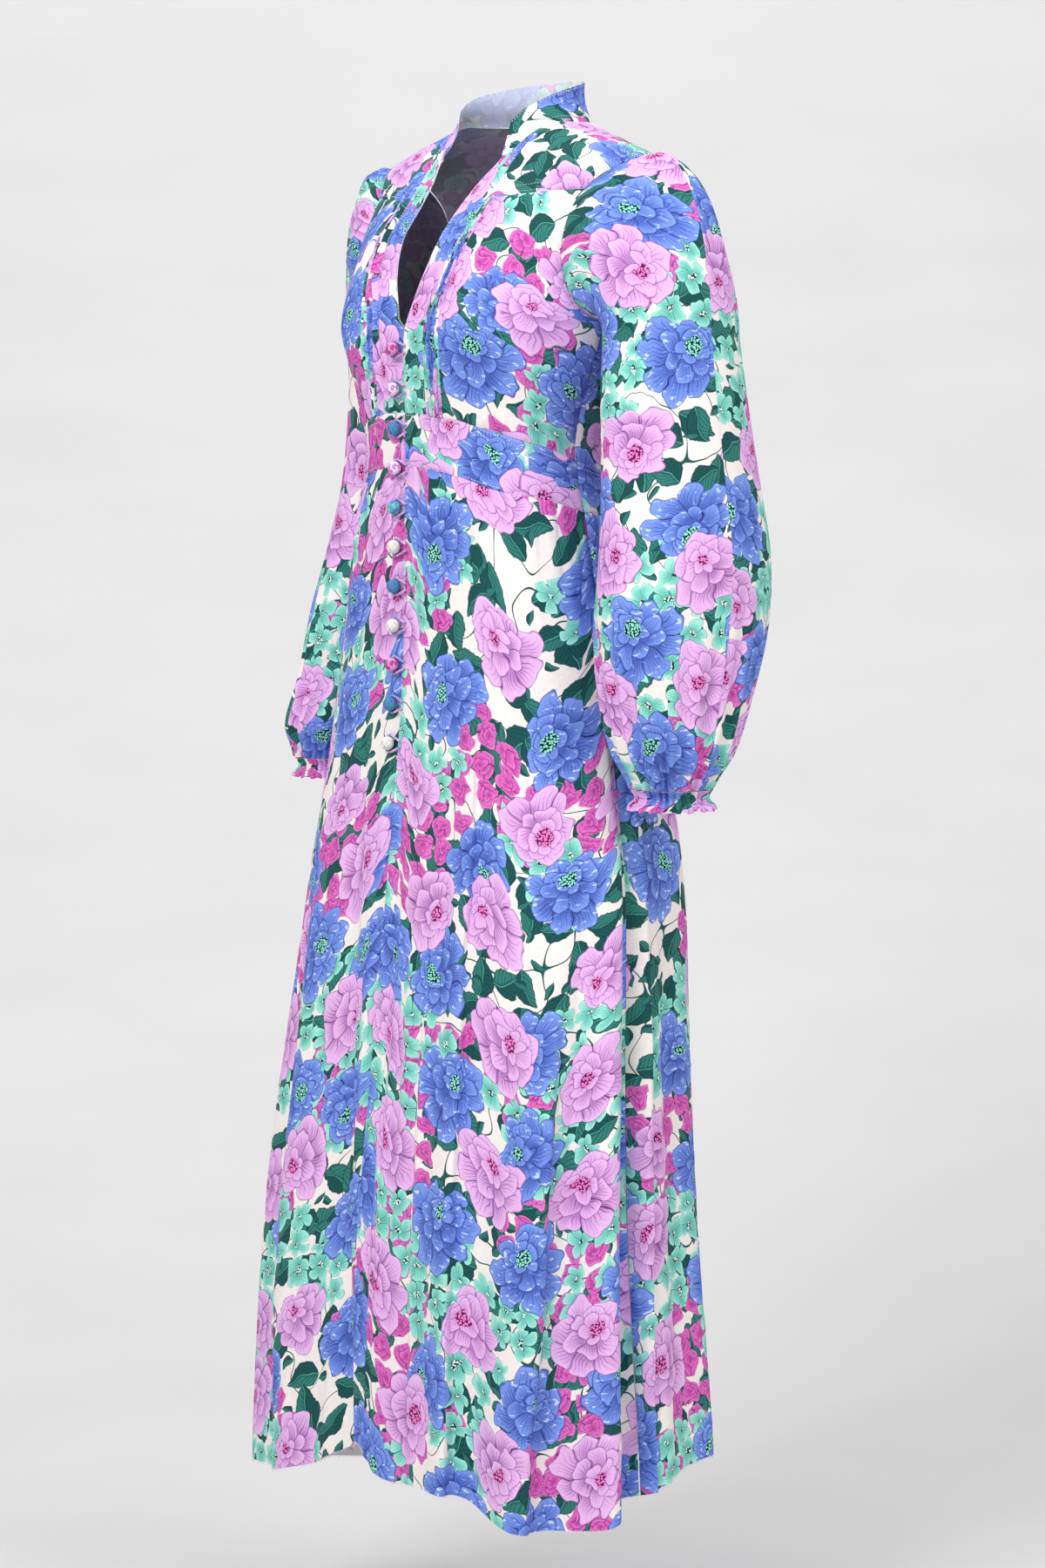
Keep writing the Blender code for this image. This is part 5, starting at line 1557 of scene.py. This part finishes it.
def build_buttons():
    looks = {key: covered_material("Covered button, " + key, *value) for key, value in BUTTON_LOOKS.items()}
    cord = covered_material("Rouleau loop", (214, 170, 218), (120, 150, 214))
    profile = []
    for step in range(1, 22):
        a = math.pi * step / 22
        profile.append((BUTTON_RADIUS * math.sin(a) ** 0.93, -BUTTON_RADIUS * 0.97 * math.cos(a)))
    for index in range(BUTTON_COUNT):
        height = FIRST_BUTTON + (LAST_BUTTON - FIRST_BUTTON) * index / (BUTTON_COUNT - 1)
        angle = float(angle_at_side(BUTTON_SIDE, height))
        outward = outward_at(angle, height)
        node = "button_%02d" % (index + 1)
        ball = revolve(node + "_cover", profile, 40, looks[BUTTON_ORDER[index]])
        low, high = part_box(node)
        ball.location = (Vector(low) + Vector(high)) / 2
        ball.rotation_euler = Vector(outward).to_track_quat("Z", "Y").to_euler()
        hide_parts(node)
        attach(ball, "root")

        up = np.array((0.0, 0.0, 1.0))
        up = unit(up - outward * up.dot(outward))
        across = np.cross(up, outward)
        centre = body(angle, height) + outward * (LOOP_LIFT + LOOP_CORD_RADIUS)
        points = []
        for step in range(9):
            turn = math.radians(mix(62.0, 298.0, step / 8))
            points.append(centre + across * LOOP_RADIUS * math.cos(turn) + up * LOOP_RADIUS * math.sin(turn))
        tail = LEFT_EDGE - BUTTON_SIDE + 0.0045
        points.insert(0, centre + across * tail + up * 0.0030 - outward * 0.0006)
        points.append(centre + across * tail - up * 0.0030 - outward * 0.0006)
        node = "loop_%02d" % (index + 1)
        loop = tube(node + "_cord", smooth_path(points, 60), LOOP_CORD_RADIUS, cord)
        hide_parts(node)
        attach(loop, "root")


# ---------------------------------------------------------------- studio
STAGE_REACH = 9.0             # to the front and to both sides
BEND_START = 1.2              # how far behind the dress the paper begins to rise
BEND_RADIUS = 1.6
BEND_STEPS = 16
WALL_REACH = 2.8
WALL_HEIGHT = 6.0
WALL_TURN = math.radians(CAMERA_AZIMUTH)
WALL_SPOT = (-2.2 * math.sin(WALL_TURN), 2.2 * math.cos(WALL_TURN), 0.6)
# name, degrees round from the camera, height, distance, size, watts, aim
LIGHTS = (
    ("Key", -30.0, 1.7, 3.0, (1.3, 1.6), 84.0, (0.0, 0.0, -0.15)),
    ("Fill", 46.0, 1.2, 3.2, (1.6, 2.0), 36.0, (0.0, 0.0, -0.25)),
    ("Top", 10.0, 2.4, 0.5, (1.2, 1.2), 26.0, (0.0, 0.0, -0.2)),
    ("Backdrop", 180.0, 1.6, 1.3, (3.0, 1.2), 16.0, WALL_SPOT),
)


def add_stage():
    material, tree, shader = principled("Studio paper", 0.9, 0.0)
    grain = tree.nodes.new("ShaderNodeTexNoise")
    grain.inputs["Scale"].default_value = 60.0
    feed(tree, shader.inputs["Base Color"],
         blend(ramp(Wire(tree, grain.outputs[0]), 0.3, 0.7), paint((214, 213, 213)), paint((217, 216, 216))))
    direction = math.radians(CAMERA_AZIMUTH)
    away = Vector((-math.sin(direction), math.cos(direction), 0.0))
    side = Vector((math.cos(direction), math.sin(direction), 0.0))
    profile = [(-STAGE_REACH, 0.0), (BEND_START, 0.0)]
    for step in range(1, BEND_STEPS + 1):
        a = math.pi / 2 * step / BEND_STEPS
        profile.append((BEND_START + BEND_RADIUS * math.sin(a), BEND_RADIUS * (1 - math.cos(a))))
    profile.append((WALL_REACH, WALL_HEIGHT))
    points, faces = [], []
    for reach, rise in profile:
        for edge in (-STAGE_REACH, STAGE_REACH):
            points.append(away * reach + side * edge + Vector((0.0, 0.0, FLOOR_HEIGHT + rise)))
    for row in range(len(profile) - 1):
        faces.append((row * 2, row * 2 + 1, row * 2 + 3, row * 2 + 2))
    sweep = add_mesh("studio_sweep", np.array([tuple(p) for p in points]), faces, [material])


def add_light(name, azimuth, height, distance, size, energy, aim):
    data = bpy.data.lights.new(name, "AREA")
    data.shape = "RECTANGLE"
    data.size = size[0]
    data.size_y = size[1]
    data.energy = energy
    light = bpy.data.objects.new(name, data)
    direction = math.radians(azimuth)
    light.location = (math.sin(direction) * distance, -math.cos(direction) * distance, height)
    light.rotation_euler = (Vector(aim) - light.location).to_track_quat("-Z", "Y").to_euler()
    bpy.context.scene.collection.objects.link(light)


def add_studio():
    add_stage()
    world = bpy.data.worlds.new("Studio")
    world.use_nodes = True
    background = world.node_tree.nodes["Background"]
    background.inputs[0].default_value = (1.0, 1.0, 1.0, 1.0)
    background.inputs[1].default_value = 0.60
    bpy.context.scene.world = world
    bpy.context.scene.view_settings.view_transform = "Standard"
    for name, turn, height, distance, size, energy, aim in LIGHTS:
        add_light(name, CAMERA_AZIMUTH + turn, height, distance, size, energy, aim)


def add_camera():
    data = bpy.data.cameras.new("Camera")
    data.sensor_fit = "VERTICAL"
    data.sensor_height = 36.0
    data.lens = FOCAL
    camera = bpy.data.objects.new("Camera", data)
    azimuth = math.radians(CAMERA_AZIMUTH)
    camera.location = (CAMERA_DISTANCE * math.sin(azimuth), -CAMERA_DISTANCE * math.cos(azimuth),
                       CAMERA_HEIGHT)
    yaw = math.radians(CAMERA_AZIMUTH - CAMERA_TURN)
    camera.rotation_euler = (math.radians(90.0 - CAMERA_PITCH), 0.0, yaw)
    bpy.context.scene.collection.objects.link(camera)
    bpy.context.scene.camera = camera


build_cloth()
build_stitches()
build_fray()
build_buttons()
add_studio()
add_camera()
